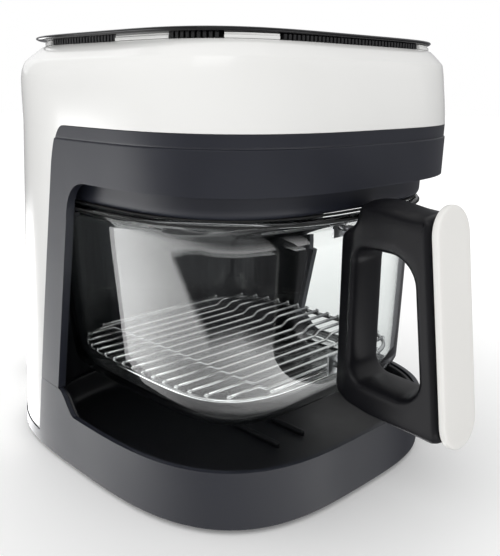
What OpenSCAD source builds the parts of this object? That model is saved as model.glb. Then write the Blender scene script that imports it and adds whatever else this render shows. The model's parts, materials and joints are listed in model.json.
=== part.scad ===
// Compact hot-air fryer with a slide-out glass bowl.
// Origin: centre of the base footprint on the table. +X right, +Y back, +Z up. Millimetres.

/* [Body] */
// Width of the base footprint
base_w = 266; // [258:1:274]
// Depth of the base footprint
base_d = 305; // [297:1:313]
// Width of the housing at the band
top_w = 270; // [262:1:278]
// Depth of the housing at the band
top_d = 270; // [264:1:276]
// How far the housing centre sits in front of the base centre at the band
top_shift = 20; // [16:1:23]
// Height of the white housing edge above the base underside
case_h = 297; // [296:0.5:299]
// Squareness of the plan shape (2 is an ellipse)
plan_n = 3.22; // [2.9:0.01:3.6]
// Wall thickness of the outer shell
wall = 2.6; // [2:0.1:3.2]

/* [Base] */
// Height of the rubber feet below the base
foot_h = 3; // [2:0.5:4]
// Radius of each rubber foot
foot_r = 9; // [7:0.5:11]
// Height of the front apron above the base underside
apron_h = 41; // [36:1:46]
// Height of the seam between the base and the legs
seam_h = 58; // [54:1:62]
// Height of the tray floor above the base underside
tray_z = 9; // [8:0.5:12]

/* [Front frame] */
// Height of the lower edge of the band
band_lo = 212; // [210:1:214]
// Height of the upper edge of the band
band_hi = 246.8; // [244:0.1:249]
// How far the band stands proud of the housing
band_proud = 0.7; // [0.3:0.1:1.2]
// Rearward slope of the legs (mm per mm of height)
leg_slope = 0.237; // [0.2:0.001:0.26]

/* [Bowl] */
// Half width of the bowl rim
rim_a = 126; // [124:0.5:126.5]
// Glass wall thickness
glass_t = 4; // [3:0.25:5]
// Height of the bowl bottom above the base underside
bowl_z = 57.5; // [54:0.5:60]
// Height of the top of the bowl rim above the base underside
rim_z = 195; // [193:0.5:195.5]
// Travel of the bowl from closed to fully out
bowl_travel = 290; // [250:5:320]

/* [Handle] */
// Width of the grip at the cover strip
grip_w = 36; // [32:1:40]
// Clear height of the finger opening
finger_h = 89; // [80:1:90]

/* [Rack] */
// Number of cross rods
rod_n = 17; // [13:1:19]
// Diameter of each rod
rod_d = 2.6; // [2.2:0.1:3]

/* [Fans] */
// Diameter of the hot-air fan
hot_fan_d = 132; // [110:2:140]
// Diameter of the cooling fan
cool_fan_d = 92; // [80:2:100]
// Diameter of the fan shaft
shaft_d = 6; // [5:0.5:8]
// Radial running clearance of the shaft in its bearings
run_c = 0.05; // [0.02:0.01:0.1]

/* [Hidden] */

K = 64;                       // points round a plan shape
zb = foot_h + band_hi;        // top of the band
zt = foot_h + case_h;         // white edge of the housing
fan_y = -25;                  // axis of the fans
rim_top = foot_h + rim_z;
bz0 = foot_h + bowl_z;
lin_rear = 101;               // rear face of the cavity liner
frame_col = [0.25, 0.26, 0.29];
white_col = [0.94, 0.94, 0.92];
dark_col = [0.11, 0.11, 0.12];
steel_col = [0.75, 0.76, 0.78];

function lerp(a, b, t) = a + (b - a)*t;
function sg(v) = v < 0 ? -1 : 1;
function bez(p, q, r, t) = (1-t)*(1-t)*p + 2*t*(1-t)*q + t*t*r;

// closed plan curve: half width a, front half depth bf, rear half depth br, centre y0, squareness n
function plan(a, bf, br, y0, n, k = K) = [for (i = [0:k-1])
  let (t = 360*i/k, c = cos(t), s = sin(t), e = 2/n)
  [a*sg(c)*pow(abs(c), e), y0 + (s < 0 ? bf : br)*sg(s)*pow(abs(s), e)]];

// housing plan at height z, inset by g; rear limits the rear face when given
function bt(z) = min(1, max(0, (z - foot_h)/band_hi));
function ba(z) = lerp(base_w/2, top_w/2, bt(z));
function bb(z) = lerp(base_d/2, top_d/2, bt(z));
function by(z) = -top_shift*bt(z);
function body_plan(z, g = 0, rear = 1e6, s = 1) =
  plan(ba(z)*s - g, bb(z)*s - g, min(bb(z)*s - g, rear - by(z)), by(z), plan_n);

module disc(z, p) translate([0, 0, z]) linear_extrude(0.02) polygon(p);
// straight loft of the housing between two heights
module body_loft(z0, z1, g = 0, rear = 1e6, s = 1)
  hull() { disc(z0, body_plan(z0, g, rear, s)); disc(z1 - 0.02, body_plan(z1, g, rear, s)); }
// crown of the housing above the band, inset by g
module crown_loft(g = 0, z0 = zb, dz = 0) hull() {
  disc(z0, body_plan(zb, g));
  disc(foot_h + 270, body_plan(zb, g + 0.6));
  disc(foot_h + 280, plan(131 - g, 130.5 - g, 130.5 - g, -21, 3.4));
  disc(foot_h + 288, plan(125.5 - g, 120.5 - g, 122 - g, -22.5, 3.8));
  disc(zt - 0.02 + dz, plan(117.5 - g, 109.5 - g, 112 - g, -25, 4.3));
}
// extrude a side-view outline (y, z) across the whole width
module side_cut(p, w = 400) rotate([90, 0, 90]) translate([0, 0, -w/2]) linear_extrude(w) polygon(p);
module rod(p, q, d) let (v = q - p, l = norm(v))
  translate(p) rotate([0, acos(v[2]/l), atan2(v[1], v[0])]) cylinder(d = d, h = l, $fn = 24);
module tube(z0, z1, ro, ri, y = 0) translate([0, y, z0]) difference() {
  cylinder(r = ro, h = z1 - z0, $fn = 64);
  translate([0, 0, -1]) cylinder(r = ri, h = z1 - z0 + 2, $fn = 64);
}
module pan_screw(l, d = 3, hd = 5.6, hh = 2) {
  translate([0, 0, -l]) cylinder(d = d, h = l + 0.01, $fn = 24);
  difference() {
    cylinder(d = hd, h = hh, $fn = 32);
    for (a = [0, 90]) rotate([0, 0, a]) translate([-hd*0.3, -0.45, hh - 0.9]) cube([hd*0.6, 0.9, 2]);
  }
}
function leg_out(z) = 18 + leg_slope*(foot_h + 193 - z);
function leg_in(z) = -4.5 + 0.209*(foot_h + 189 - z);
leg_top = [for (t = [0:0.2:1]) bez([-6, zb], [4, zb], [leg_out(zb - 24), zb - 24], t)];
win_arc = [for (t = [0:0.125:1]) bez([-29, foot_h + band_lo], [-7, foot_h + band_lo + 1], [leg_in(foot_h + 186), foot_h + 186], t)];
seam_z = foot_h + seam_h;
rim_curve = [for (t = [0:0.125:1]) let (u = t*t*(3 - 2*t)) [lerp(3, leg_in(seam_z) - 0.5, t), lerp(foot_h + apron_h, seam_z, u)]];
rear_edge = foot_h + 10;      // lower edge of the white shell

// ---------- outer casing ----------
module outer_shell() color(white_col) difference() {
  union() { crown_loft(0); body_loft(rear_edge, zb + 0.3); }
  crown_loft(wall, zb - 0.2, 1);
  body_loft(rear_edge - 1, zb + 0.1, wall);
  side_cut(concat([[-220, -5], [-220, zb]], [for (p = leg_top) [p[0] + 0.15, p[1]]],
    [[leg_out(-5) + 0.15, -5]]));
  translate([-78.2, 60, foot_h + 21.8]) cube([156.4, 120, 228.4 - 5]);
}
module rear_cover() color(white_col) difference() {
  intersection() {
    body_loft(foot_h + 20, zb, -0.6);
    translate([-78, 60, foot_h + 22]) cube([156, 120, 223]);
  }
  body_loft(foot_h + 18, zb + 1, wall);
  translate([-45.2, 80, foot_h + 220.8]) cube([90.4, 80, 20.4]);
  translate([50, 100, foot_h + 38]) rotate([-90, 0, 0]) cylinder(r = 8.1, h = 80, $fn = 48);
  for (x = [-70, 70], z = [34, 236]) translate([x, 90, foot_h + z]) rotate([-90, 0, 0]) cylinder(r = 1.7, h = 80, $fn = 32);
}
module exhaust_grille() color(dark_col) difference() {
  intersection() {
    body_loft(foot_h + 215, zb, -1.4);
    translate([-45, 80, foot_h + 221]) cube([90, 80, 20]);
  }
  body_loft(foot_h + 214, zb + 1, 3.2);
  for (i = [-7:7]) translate([i*5.6 - 1.4, 80, foot_h + 224]) cube([2.8, 80, 14]);
}
module cover_screws() color(steel_col) for (x = [-70, 70], z = [34, 236])
  let (zz = foot_h + z, ys = by(zz) + bb(zz)*pow(1 - pow(70/ba(zz), plan_n), 1/plan_n))
  translate([x, ys + 1.4, zz]) rotate([-90, 0, 0]) pan_screw(9);
module front_frame() color(frame_col) difference() {
  union() {
    body_loft(seam_z + 0.3, foot_h + 238.4, -band_proud);
    body_loft(foot_h + 238.3, zb - 0.15, 0);
  }
  body_loft(seam_z - 1, zb + 1, 3.4);
  side_cut(concat([[300, zb + 5], [-6, zb + 5]], leg_top, [[leg_out(-5), -5], [300, -5]]));
  side_cut(concat([[-220, -5], [-220, foot_h + band_lo]], win_arc, [[leg_in(-5), -5]]));
}
module collar_ring() color(frame_col) difference() {
  union() {
    hull() {
      disc(foot_h + 196.5, body_plan(foot_h + 200, 2.2, 1e6, 0.9));
      disc(foot_h + 198, body_plan(foot_h + 200, 0.6, 1e6, 0.905));
      disc(foot_h + 201, body_plan(foot_h + 201, 0, 1e6, 0.91));
      disc(foot_h + 216, body_plan(foot_h + 216, 0, 1e6, 0.91));
    }
    difference() {
      translate([0, 0, foot_h + band_lo + 0.3]) linear_extrude(3) polygon(body_plan(foot_h + band_lo + 2, 3.7));
      translate([-200, 62, foot_h + 200]) cube([400, 200, 30]);
    }
  }
  translate([0, 0, foot_h + 190]) linear_extrude(40) polygon(plan(115, 110, 110, fan_y, 3));
}

// ---------- top ----------
module top_panel() color([0.02, 0.02, 0.025]) hull() {
  disc(foot_h + 300.2, plan(118.5, 109.5, 112, -23, 4.2));
  disc(foot_h + 301.4, plan(121.5, 112.5, 115, -22, 4.2));
  disc(foot_h + 303.2, plan(121, 112, 114.5, -22, 4.2));
}
module vent_ring() color(dark_col) difference() {
  translate([0, 0, zt - 8]) linear_extrude(foot_h + 300.1 - zt + 8) polygon(plan(113.6, 105.6, 108, -25, 4.3));
  translate([0, 0, zt - 9]) linear_extrude(20) polygon(plan(108, 100, 102, -25, 4.3));
  for (a = [0:6:354]) translate([0, -25, zt + 1]) rotate([0, 0, a]) translate([80, -1.2, 0]) cube([60, 2.4, 1.6]);
}
module panel_supports() color(white_col) intersection() {
  difference() {
    translate([0, 0, zt + 0.05]) linear_extrude(foot_h + 300.1 - zt - 0.05) polygon(plan(117, 109, 111.5, -25, 4.3));
    translate([0, 0, zt - 1]) linear_extrude(10) polygon(plan(113.8, 105.8, 108.2, -25, 4.3));
  }
  union() for (m = [0, 1]) mirror([m, 0, 0]) {
    translate([69, -150, zt]) cube([31, 60, 8]);
    translate([100, -89, zt]) cube([30, 48, 8]);
    translate([100, 40, zt]) cube([30, 14, 8]);
    translate([40, 60, zt]) cube([40, 60, 8]);
  }
}
module touch_board() color([0.05, 0.3, 0.15]) {
  difference() {
    translate([-70, -85, foot_h + 293.5]) cube([140, 90, 1.6]);
    for (x = [-60, 60], y = [-78, -2]) translate([x, y, foot_h + 290]) cylinder(r = 1.4, h = 8, $fn = 32);
  }
  for (x = [-44:22:44]) translate([x, -66, foot_h + 295]) cylinder(d = 11, h = 4.9, $fn = 40);
  translate([20, -30, foot_h + 289.6]) cube([18, 14, 4]);
  translate([-45, -32, foot_h + 290]) cube([12, 24, 3.6]);
}
module display_module() color([0.15, 0.15, 0.18]) {
  translate([-32, -52, foot_h + 295.2]) cube([64, 20, 4.6]);
}
module power_board() {
  color([0.08, 0.3, 0.15]) difference() {
    translate([-52, 112, foot_h + 60]) cube([104, 1.6, 92]);
    for (x = [-47, 47], z = [65, 147]) translate([x, 100, foot_h + z]) rotate([-90, 0, 0]) cylinder(r = 1.4, h = 20, $fn = 32);
  }
  color([0.1, 0.1, 0.1]) for (p = [[-44, 70, 20, 16, 14], [-14, 70, 20, 16, 14]])
    translate([p[0], 113.5, foot_h + p[1]]) cube([p[2], p[4], p[3]]);
  color([0.8, 0.7, 0.2]) translate([14, 113.5, foot_h + 72]) cube([22, 13, 20]);
  color([0.15, 0.15, 0.4]) for (x = [-40, -22]) translate([x, 113.5, foot_h + 120]) rotate([-90, 0, 0]) cylinder(d = 12, h = 14, $fn = 40);
  color([0.9, 0.9, 0.85]) translate([-5, 113.5, foot_h + 134]) cube([40, 8, 12]);
}
module board_screws() color(steel_col) {
  for (x = [-60, 60], y = [-78, -2]) translate([x, y, foot_h + 293.4]) mirror([0, 0, 1]) pan_screw(1.5, 2.6, 5, 1.8);
  for (x = [-47, 47], z = [65, 147]) translate([x, 111.95, foot_h + z]) rotate([90, 0, 0]) pan_screw(1.5, 2.6, 5, 1.8);
}

// ---------- heater and cooking chamber ----------
module heater_chamber() color(steel_col) difference() {
  union() {
    hull() {
      disc(foot_h + 203, plan(112.5, 107.5, 107.5, fan_y, 3));
      disc(foot_h + 238, plan(110, 105, 105, fan_y, 3));
      disc(foot_h + 248.98, plan(101, 97, 97, fan_y, 3));
    }
  }
  hull() {
    disc(foot_h + 202, plan(111.5, 106.5, 106.5, fan_y, 3));
    disc(foot_h + 237.6, plan(109, 104, 104, fan_y, 3));
    disc(foot_h + 247.98, plan(100.2, 96.2, 96.2, fan_y, 3));
  }
  translate([0, fan_y, foot_h + 240]) cylinder(r = 6, h = 20, $fn = 48);
  for (p = el_legs) translate([p[0], p[1], foot_h + 240]) cylinder(r = 5.2, h = 20, $fn = 40);
  translate([52, -68, foot_h + 240]) cylinder(r = 3.2, h = 20, $fn = 40);
  translate([-40, 60, foot_h + 223]) cube([80, 40, 14]);
}
module insulation_pad() color([0.85, 0.83, 0.76]) difference() {
  translate([0, 0, foot_h + 249.2]) linear_extrude(4) polygon(plan(100, 96, 96, fan_y, 3));
  translate([0, fan_y, foot_h + 248]) cylinder(r = 14, h = 8, $fn = 48);
  for (p = el_legs) translate([p[0], p[1], foot_h + 248]) cylinder(r = 9, h = 8, $fn = 40);
  translate([52, -68, foot_h + 248]) cylinder(r = 6, h = 8, $fn = 40);
  translate([-20, -80, foot_h + 248]) cylinder(r = 12, h = 8, $fn = 40);
}
module heat_shield() color([0.8, 0.81, 0.82]) difference() {
  translate([0, 0, foot_h + 255]) linear_extrude(0.8) polygon(plan(118, 113, 112, fan_y, 3));
  translate([0, fan_y, foot_h + 250]) cylinder(r = 12, h = 8, $fn = 48);
  for (p = el_legs) translate([p[0], p[1], foot_h + 250]) cylinder(r = 7.5, h = 8, $fn = 40);
  translate([52, -68, foot_h + 250]) cylinder(r = 6, h = 8, $fn = 40);
  translate([-20, -80, foot_h + 250]) cylinder(r = 13, h = 8, $fn = 40);
  for (a = [45:90:315]) translate([0, fan_y, foot_h + 250]) rotate([0, 0, a]) translate([56, 0, 0]) cylinder(r = 1.7, h = 8, $fn = 32);
}
el_z = foot_h + 212;
el_legs = [for (a = [-20, 20]) [88*cos(a), fan_y + 88*sin(a)]];
module arc_tube(r, z, a0, a1, d) translate([0, fan_y, z]) rotate([0, 0, a0])
  rotate_extrude(angle = a1 - a0, $fn = 96) translate([r, 0]) circle(d = d, $fn = 32);
module heating_element() color([0.35, 0.33, 0.32]) {
  for (r = [88, 70, 52]) arc_tube(r, el_z, 12, 348, 6.4);
  translate([0, fan_y, el_z]) for (s = [[88, 70, 14], [70, 52, -14]]) rotate([0, 0, s[2]])
    translate([s[1] - 1, 0, 0]) rotate([0, 90, 0]) cylinder(d = 5.6, h = 20, $fn = 32);
  for (p = el_legs) translate([p[0], p[1], el_z]) cylinder(d = 5.6, h = foot_h + 244.9 - el_z, $fn = 32);
}
module element_terminals() for (p = el_legs) translate([p[0], p[1], 0]) {
  color([0.92, 0.9, 0.85]) translate([0, 0, foot_h + 245]) cylinder(r = 5, h = 14, $fn = 40);
  color(steel_col) translate([0, 0, foot_h + 258.9]) cylinder(r = 1.8, h = 7, $fn = 32);
  color(steel_col) translate([-3, -0.5, foot_h + 262]) cube([6, 1, 8]);
}
module heater_guard() color(steel_col) translate([0, fan_y, foot_h + 203.6]) {
  for (r = [18:17:104]) rotate_extrude($fn = 96) translate([r, 0]) circle(d = 2.4, $fn = 24);
  for (a = [0:60:300]) rotate([0, 0, a]) translate([16.5, 0, 0]) rotate([0, 90, 0]) cylinder(d = 2.2, h = 87, $fn = 24);
}
module temp_sensor() color(steel_col) translate([52, -68, 0]) {
  translate([0, 0, foot_h + 226]) cylinder(r = 2.4, h = 32, $fn = 32);
  translate([0, 0, foot_h + 226]) sphere(r = 2.4, $fn = 32);
  translate([0, 0, foot_h + 256]) cylinder(r = 4.5, h = 6, $fn = 6);
}
module thermal_cutout() translate([-20, -80, 0]) {
  color([0.1, 0.1, 0.1]) translate([0, 0, foot_h + 249.1]) cylinder(r = 8, h = 9, $fn = 48);
  color(steel_col) for (x = [-4, 4]) translate([x - 0.4, -2.5, foot_h + 257]) cube([0.8, 5, 8]);
}

// ---------- motor and fans ----------
mz = foot_h + 267;            // underside of the motor bracket
module fan_shaft() color(steel_col) translate([0, fan_y, foot_h + 216]) cylinder(d = shaft_d, h = 75.5, $fn = 48);
module hub(h, ro) difference() {
  cylinder(r = ro, h = h, $fn = 48);
  translate([0, 0, -1]) cylinder(d = shaft_d + 0.02, h = h + 2, $fn = 48);
}
module hot_air_fan() color([0.78, 0.78, 0.76]) translate([0, fan_y, foot_h + 222]) {
  hub(20, 8);
  difference() {
    translate([0, 0, 18.8]) cylinder(d = hot_fan_d - 8, h = 1, $fn = 96);
    translate([0, 0, 18]) cylinder(d = shaft_d + 0.02, h = 3, $fn = 48);
  }
  for (i = [0:9]) rotate([0, 0, i*36]) translate([26, 0, 3]) rotate([0, 0, 18]) cube([hot_fan_d/2 - 31, 1, 16]);
}
module fan_nut() color([0.8, 0.68, 0.35]) translate([0, fan_y, foot_h + 217.2]) difference() {
  cylinder(r = 6, h = 4.6, $fn = 6);
  translate([0, 0, -1]) cylinder(d = shaft_d + 0.02, h = 8, $fn = 48);
}
module cooling_fan() color([0.2, 0.2, 0.22]) translate([0, fan_y, foot_h + 257.4]) {
  hub(8, 9);
  difference() {
    cylinder(d = cool_fan_d - 6, h = 1, $fn = 96);
    translate([0, 0, -1]) cylinder(d = shaft_d + 0.02, h = 3, $fn = 48);
  }
  for (i = [0:8]) rotate([0, 0, i*40]) translate([14, 0, 0.9]) rotate([0, 0, 15]) cube([cool_fan_d/2 - 16, 1.2, 6.6]);
}
module motor_bracket() color(steel_col) {
  difference() {
    translate([0, fan_y, mz]) cylinder(r = 62, h = 1.4, $fn = 96);
    translate([0, fan_y, mz - 1]) cylinder(r = 8.05, h = 4, $fn = 48);
    for (a = [0:45:315]) translate([0, fan_y, mz - 1]) rotate([0, 0, a + 22.5]) translate([48, 0, 0]) cylinder(r = 8, h = 4, $fn = 40);
    for (a = [45:90:315]) translate([0, fan_y, mz - 1]) rotate([0, 0, a]) translate([32, 0, 0]) cylinder(r = 1.7, h = 4, $fn = 32);
  }
  for (a = [45:90:315]) translate([0, fan_y, 0]) rotate([0, 0, a]) translate([56, 0, 0]) difference() {
    translate([0, 0, foot_h + 255.85]) cylinder(r = 4.5, h = mz - foot_h - 255.8, $fn = 32);
    translate([0, 0, foot_h + 250]) cylinder(r = 1.55, h = 15, $fn = 32);
  }
}
module motor_bearings() color([0.7, 0.66, 0.55]) for (z = [mz - 1, foot_h + 284.6]) translate([0, fan_y, z]) difference() {
  cylinder(r = 8, h = 5, $fn = 48);
  translate([0, 0, -1]) cylinder(r = shaft_d/2 + run_c, h = 7, $fn = 48);
}
module motor_cap() color(steel_col) {
  difference() {
    translate([-28, fan_y - 12, foot_h + 286]) cube([56, 24, 1.6]);
    translate([0, fan_y, foot_h + 280]) cylinder(r = 8.05, h = 12, $fn = 48);
  }
  for (x = [-25.6, 25.6]) translate([x, fan_y, foot_h + 281.6]) cylinder(r = 1.8, h = 4.6, $fn = 32);
}
module motor_stator() color([0.45, 0.46, 0.48]) difference() {
  translate([-30, fan_y - 30, mz + 4.5]) cube([60, 60, 10]);
  translate([0, fan_y, mz]) cylinder(r = 16.6, h = 20, $fn = 64);
  for (a = [0:90:270]) translate([0, fan_y, mz]) rotate([0, 0, a]) translate([16, -7, 0]) cube([8, 14, 20]);
  for (x = [-22.63, 22.63], y = [-22.63, 22.63]) translate([x, fan_y + y, mz]) cylinder(r = 1.7, h = 20, $fn = 32);
}
module motor_windings() color([0.72, 0.4, 0.2]) for (a = [0:90:270]) translate([0, fan_y, mz + 2.2]) rotate([0, 0, a])
  translate([17, -6.5, 0]) cube([6.5, 13, 14.8]);
module motor_screws() color(steel_col) {
  for (a = [45:90:315]) translate([0, fan_y, foot_h + 254.9]) rotate([0, 0, a]) {
    translate([56, 0, 0]) mirror([0, 0, 1]) pan_screw(8, 3, 5.6, 1.4);
  }
  for (a = [45:90:315]) translate([0, fan_y, mz - 0.05]) rotate([0, 0, a]) translate([32, 0, 0]) {
    mirror([0, 0, 1]) pan_screw(16, 3, 5.6, 1.4);
  }
}
module motor_rotor() color([0.3, 0.3, 0.32]) translate([0, fan_y, mz + 4.5]) difference() {
  cylinder(r = 16, h = 10, $fn = 64);
  translate([0, 0, -1]) cylinder(d = shaft_d + 0.02, h = 12, $fn = 48);
}
module exhaust_duct() color([0.7, 0.71, 0.72]) difference() {
  translate([-43.5, 84, foot_h + 221.8]) cube([87, 27, 18.2]);
  translate([-42.5, 80, foot_h + 222.8]) cube([85, 40, 16.2]);
}

// ---------- bowl bay ----------
function liner_plan(g) = plan(128 - g, 95 - g, lin_rear + 10 - g, -10, 3.3);
module cavity_liner() color([0.16, 0.16, 0.17]) difference() {
  translate([0, 0, foot_h + 30.2]) linear_extrude(165.4) polygon(liner_plan(0));
  translate([0, 0, foot_h + 29]) linear_extrude(168) polygon(liner_plan(1.2));
  side_cut([[-220, -5], [-220, 260], [leg_in(260) + 3, 260], [leg_in(0) + 3, -5]]);
  translate([-6.1, 90, foot_h + 187.7]) cube([12.2, 20, 12]);
}
module bowl_rails() color([0.16, 0.16, 0.17]) intersection() {
  union() for (m = [0, 1]) mirror([m, 0, 0]) {
    translate([121.8, 1, rim_top - 8.6]) cube([10, 40, 3]);
    translate([127.2, 1, rim_top - 8.6]) cube([4, 40, 8]);
  }
  translate([0, 0, foot_h + 150]) linear_extrude(46) polygon(liner_plan(1.4));
}
module chamber_seal() color([0.06, 0.06, 0.06]) translate([0, 0, rim_top + 0.35]) difference() {
  linear_extrude(foot_h + 196.45 - rim_top - 0.35) polygon(plan(122, 118, 113.5, -25, 2.8));
  translate([0, 0, -1]) linear_extrude(9) polygon(plan(118.8, 114.8, 110.3, -25, 2.8));
}
sw_z = foot_h + 192.5;
module interlock_switch() color([0.1, 0.1, 0.1]) difference() {
  translate([-10, 101.2, sw_z - 7.5]) cube([20, 9, 11]);
  translate([0, 100, sw_z]) rotate([-90, 0, 0]) cylinder(r = 3.4, h = 8, $fn = 40);
}
module interlock_plunger() color([0.75, 0.15, 0.1]) translate([0, 0, sw_z]) rotate([-90, 0, 0]) {
  translate([0, 0, 94.65]) cylinder(r = 1.8, h = 9.2, $fn = 32);
  translate([0, 0, 94.65]) sphere(r = 1.9, $fn = 32);
  translate([0, 0, 103.4]) cylinder(r = 3, h = 1, $fn = 32);
}
module plunger_spring() color(steel_col) translate([0, 104.5, sw_z]) rotate([-90, 0, 0])
  for (i = [0:4]) translate([0, 0, 0.35 + i*0.64]) rotate_extrude($fn = 40) translate([2.4, 0]) circle(d = 0.7, $fn = 16);
hw = [[14, 115.9, foot_h + 146], [14, 115.9, foot_h + 206], [56, 110.5, foot_h + 221], [66, 88, foot_h + 262], [48, 6, foot_h + 286]];
module wire_harness() color([0.7, 0.1, 0.1]) for (i = [0:3])
  let (p = hw[i], q = hw[i + 1], u = (q - p)/norm(q - p)) rod(p - (i == 0 ? 0 : 1)*u, q + u, i%2 == 0 ? 4 : 3.6);

// ---------- base ----------
module base_shell() color(frame_col) difference() {
  body_loft(foot_h, seam_z, -band_proud);
  body_loft(foot_h - 1, seam_z + 1, 3);
  side_cut(concat([[-220, foot_h + apron_h]], rim_curve, [[leg_out(seam_z), seam_z],
    [leg_out(rear_edge), rear_edge - 0.15], [260, rear_edge - 0.15], [260, 200], [-220, 200]]));
}
module base_tray() color(dark_col) {
  difference() {
    body_loft(foot_h + tray_z - 2, foot_h + apron_h - 2, 3.2, 97.5);
    body_loft(foot_h + tray_z, foot_h + apron_h + 2, 5, 95.4);
    side_cut([[300, foot_h + 30], [10, foot_h + 30], [-5, foot_h + apron_h + 5], [300, foot_h + apron_h + 5]]);
  }
  for (x = [-14, 14]) {
    translate([x - 1.75, -84, foot_h + tray_z - 0.5]) cube([3.5, 150, 4.5]);
    translate([x, -84, foot_h + tray_z - 0.5]) cylinder(r = 1.75, h = 4.5, $fn = 32);
  }
  for (x = [-92, 92], y = [-88, 80]) translate([x, y, foot_h + 2.7]) difference() {
    cylinder(r = 5, h = tray_z - 2.6 - 2 + 0.1, $fn = 40);
    translate([0, 0, -1]) cylinder(r = 1.55, h = tray_z - 3.5, $fn = 32);
  }
}
module base_plate() color(dark_col) difference() {
  translate([0, 0, foot_h + 0.2]) linear_extrude(2.4) polygon(body_plan(foot_h + 2.8, 3.4));
  for (x = [-92, 92], y = [-88, 80]) translate([x, y, foot_h - 1]) {
    cylinder(r = 1.75, h = 6, $fn = 32);
    cylinder(r = 3.4, h = 2.4, $fn = 32);
  }
  for (x = [-78, 78], y = [-108, 112]) translate([x, y, foot_h - 1]) cylinder(r = 3.05, h = 6, $fn = 32);
  for (i = [-6:6]) translate([i*9 - 1.5, 20, foot_h - 1]) cube([3, 50, 6]);
}
module base_screws() color(steel_col) for (x = [-92, 92], y = [-88, 80])
  translate([x, y, foot_h + 1.36]) mirror([0, 0, 1]) pan_screw(5, 3, 5.6, 1.2);
module rubber_feet() color([0.08, 0.08, 0.08]) for (x = [-78, 78], y = [-108, 112]) translate([x, y, 0]) {
  cylinder(r1 = foot_r - 1, r2 = foot_r, h = 1, $fn = 64);
  translate([0, 0, 1]) cylinder(r = foot_r, h = foot_h - 0.85, $fn = 64);
  translate([0, 0, foot_h - 0.5]) cylinder(r = 3, h = 3.6, $fn = 40);
}

// ---------- mains lead ----------
gl_z = foot_h + 38;
module cord_gland() color(dark_col) translate([50, 0, gl_z]) rotate([-90, 0, 0]) difference() {
  union() {
    translate([0, 0, 136]) cylinder(r = 8, h = 12, $fn = 48);
    translate([0, 0, 134]) cylinder(r = 10, h = 3, $fn = 48);
    translate([0, 0, 148]) cylinder(r1 = 8.6, r2 = 5.4, h = 16, $fn = 48);
  }
  translate([0, 0, 100]) cylinder(r = 3.65, h = 80, $fn = 48);
}
cd = 7;                       // cord diameter
ck = [7.54, 202.31];             // centre of the tied hank
function track(r) = concat(
  [for (a = [-90:7.5:90]) [ck[0] + 48 + r*cos(a), ck[1] + r*sin(a)]],
  [for (a = [90:7.5:270]) [ck[0] - 48 + r*cos(a), ck[1] + r*sin(a)]]);
module power_cord() color(dark_col) {
  difference() {
    translate([0, 0, 0.9]) linear_extrude(3*cd) polygon(track(19 + cd/2));
    translate([0, 0, -1]) linear_extrude(4*cd) polygon(track(19 - cd/2));
  }
  rod([50, 120, gl_z], [50, 172, gl_z], cd);
  translate([50, 172, gl_z]) sphere(d = cd*1.12, $fn = 32);
  rod([50, 172, gl_z], [53.54, 221.31, 17], cd);
  rod([74.54, 202.31, 19.6], [89.44, 202.31, 19.6], cd);
}
module power_plug() color(dark_col) translate([84.54, 0, 0]) {
  difference() {
    translate([0, 202.31, 19.6]) rotate([0, 90, 0]) cylinder(r1 = 14, r2 = 19, h = 10, $fn = 64);
    translate([-1, 202.31, 19.6]) rotate([0, 90, 0]) cylinder(r = 3.6, h = 6, $fn = 32);
  }
  translate([9.99, 202.31, 19.6]) rotate([0, 90, 0]) cylinder(r = 19, h = 22, $fn = 64);
}
module plug_pins() color(steel_col) for (y = [-9.5, 9.5])
  translate([84.54 + 31.99, 202.31 + y, 19.6]) rotate([0, 90, 0]) cylinder(r = 2.4, h = 19.1, $fn = 40);
module cord_tie() color([0.2, 0.2, 0.2]) translate([2.54, 202.31, 0]) difference() {
  translate([-4, -23.8, 0.05]) cube([8, 47.6, 22.9]);
  translate([-5, -22.8, 0.8]) cube([10, 45.6, 21.3]);
}

// ---------- bowl and handle ----------
// height fraction t = 0 at the foot of the wall, 1 under the flare
function wall_plan(t, g = 0) = plan(lerp(105, 119, t) - g, lerp(105, 110, t) - g, lerp(105, 112, t) - g,
  lerp(-23, -20, t), lerp(4.7, 3.8, t));
wz0 = bz0 + 8;
wz1 = rim_top - 12;
module bowl_solid(g = 0) hull() {
  disc(bz0 + g, plan(88 - g, 88 - g, 88 - g, -23, 4.2));
  disc(bz0 + 1.6 + g*0.6, plan(97 - g, 97 - g, 97 - g, -23, 4.5));
  disc(bz0 + 4.6 + g*0.3, plan(102.8 - g, 102.8 - g, 102.8 - g, -23, 4.7));
  disc(wz0 + 1, wall_plan(0.01, g));
  disc(wz1, wall_plan(1, g));
}
module flare(g = 0, z1) hull() {
  disc(wz1 - 0.2, wall_plan(1, g));
  disc(z1, plan(rim_a - 5 - g, 117.5 - g, 112.5 - g, -25, 3));
}
module glass_bowl() color([0.75, 0.8, 0.8, 0.35]) difference() {
  union() {
    bowl_solid();
    flare(0, rim_top - 5);
    translate([0, 0, rim_top - 5]) linear_extrude(5) polygon(plan(rim_a, 122, 117, -25, 2.65));
  }
  bowl_solid(glass_t);
  hull() {
    disc(wz1 - 0.2, wall_plan(1, glass_t));
    disc(rim_top + 0.5, plan(rim_a - 7, 115, 110, -25, 2.9));
  }
  for (z = [84, 182]) translate([0, -150, foot_h + z]) rotate([-90, 0, 0]) cylinder(r = 3.1, h = 40, $fn = 40);
}
module rim_seal() color([0.05, 0.05, 0.05]) translate([0, 0, rim_top - 3.2]) difference() {
  linear_extrude(1.4) polygon(plan(rim_a + 0.6, 122.6, 117.6, -25, 2.65));
  translate([0, 0, -1]) linear_extrude(4) polygon(plan(rim_a + 0.05, 122.05, 117.05, -25, 2.65));
}
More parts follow.
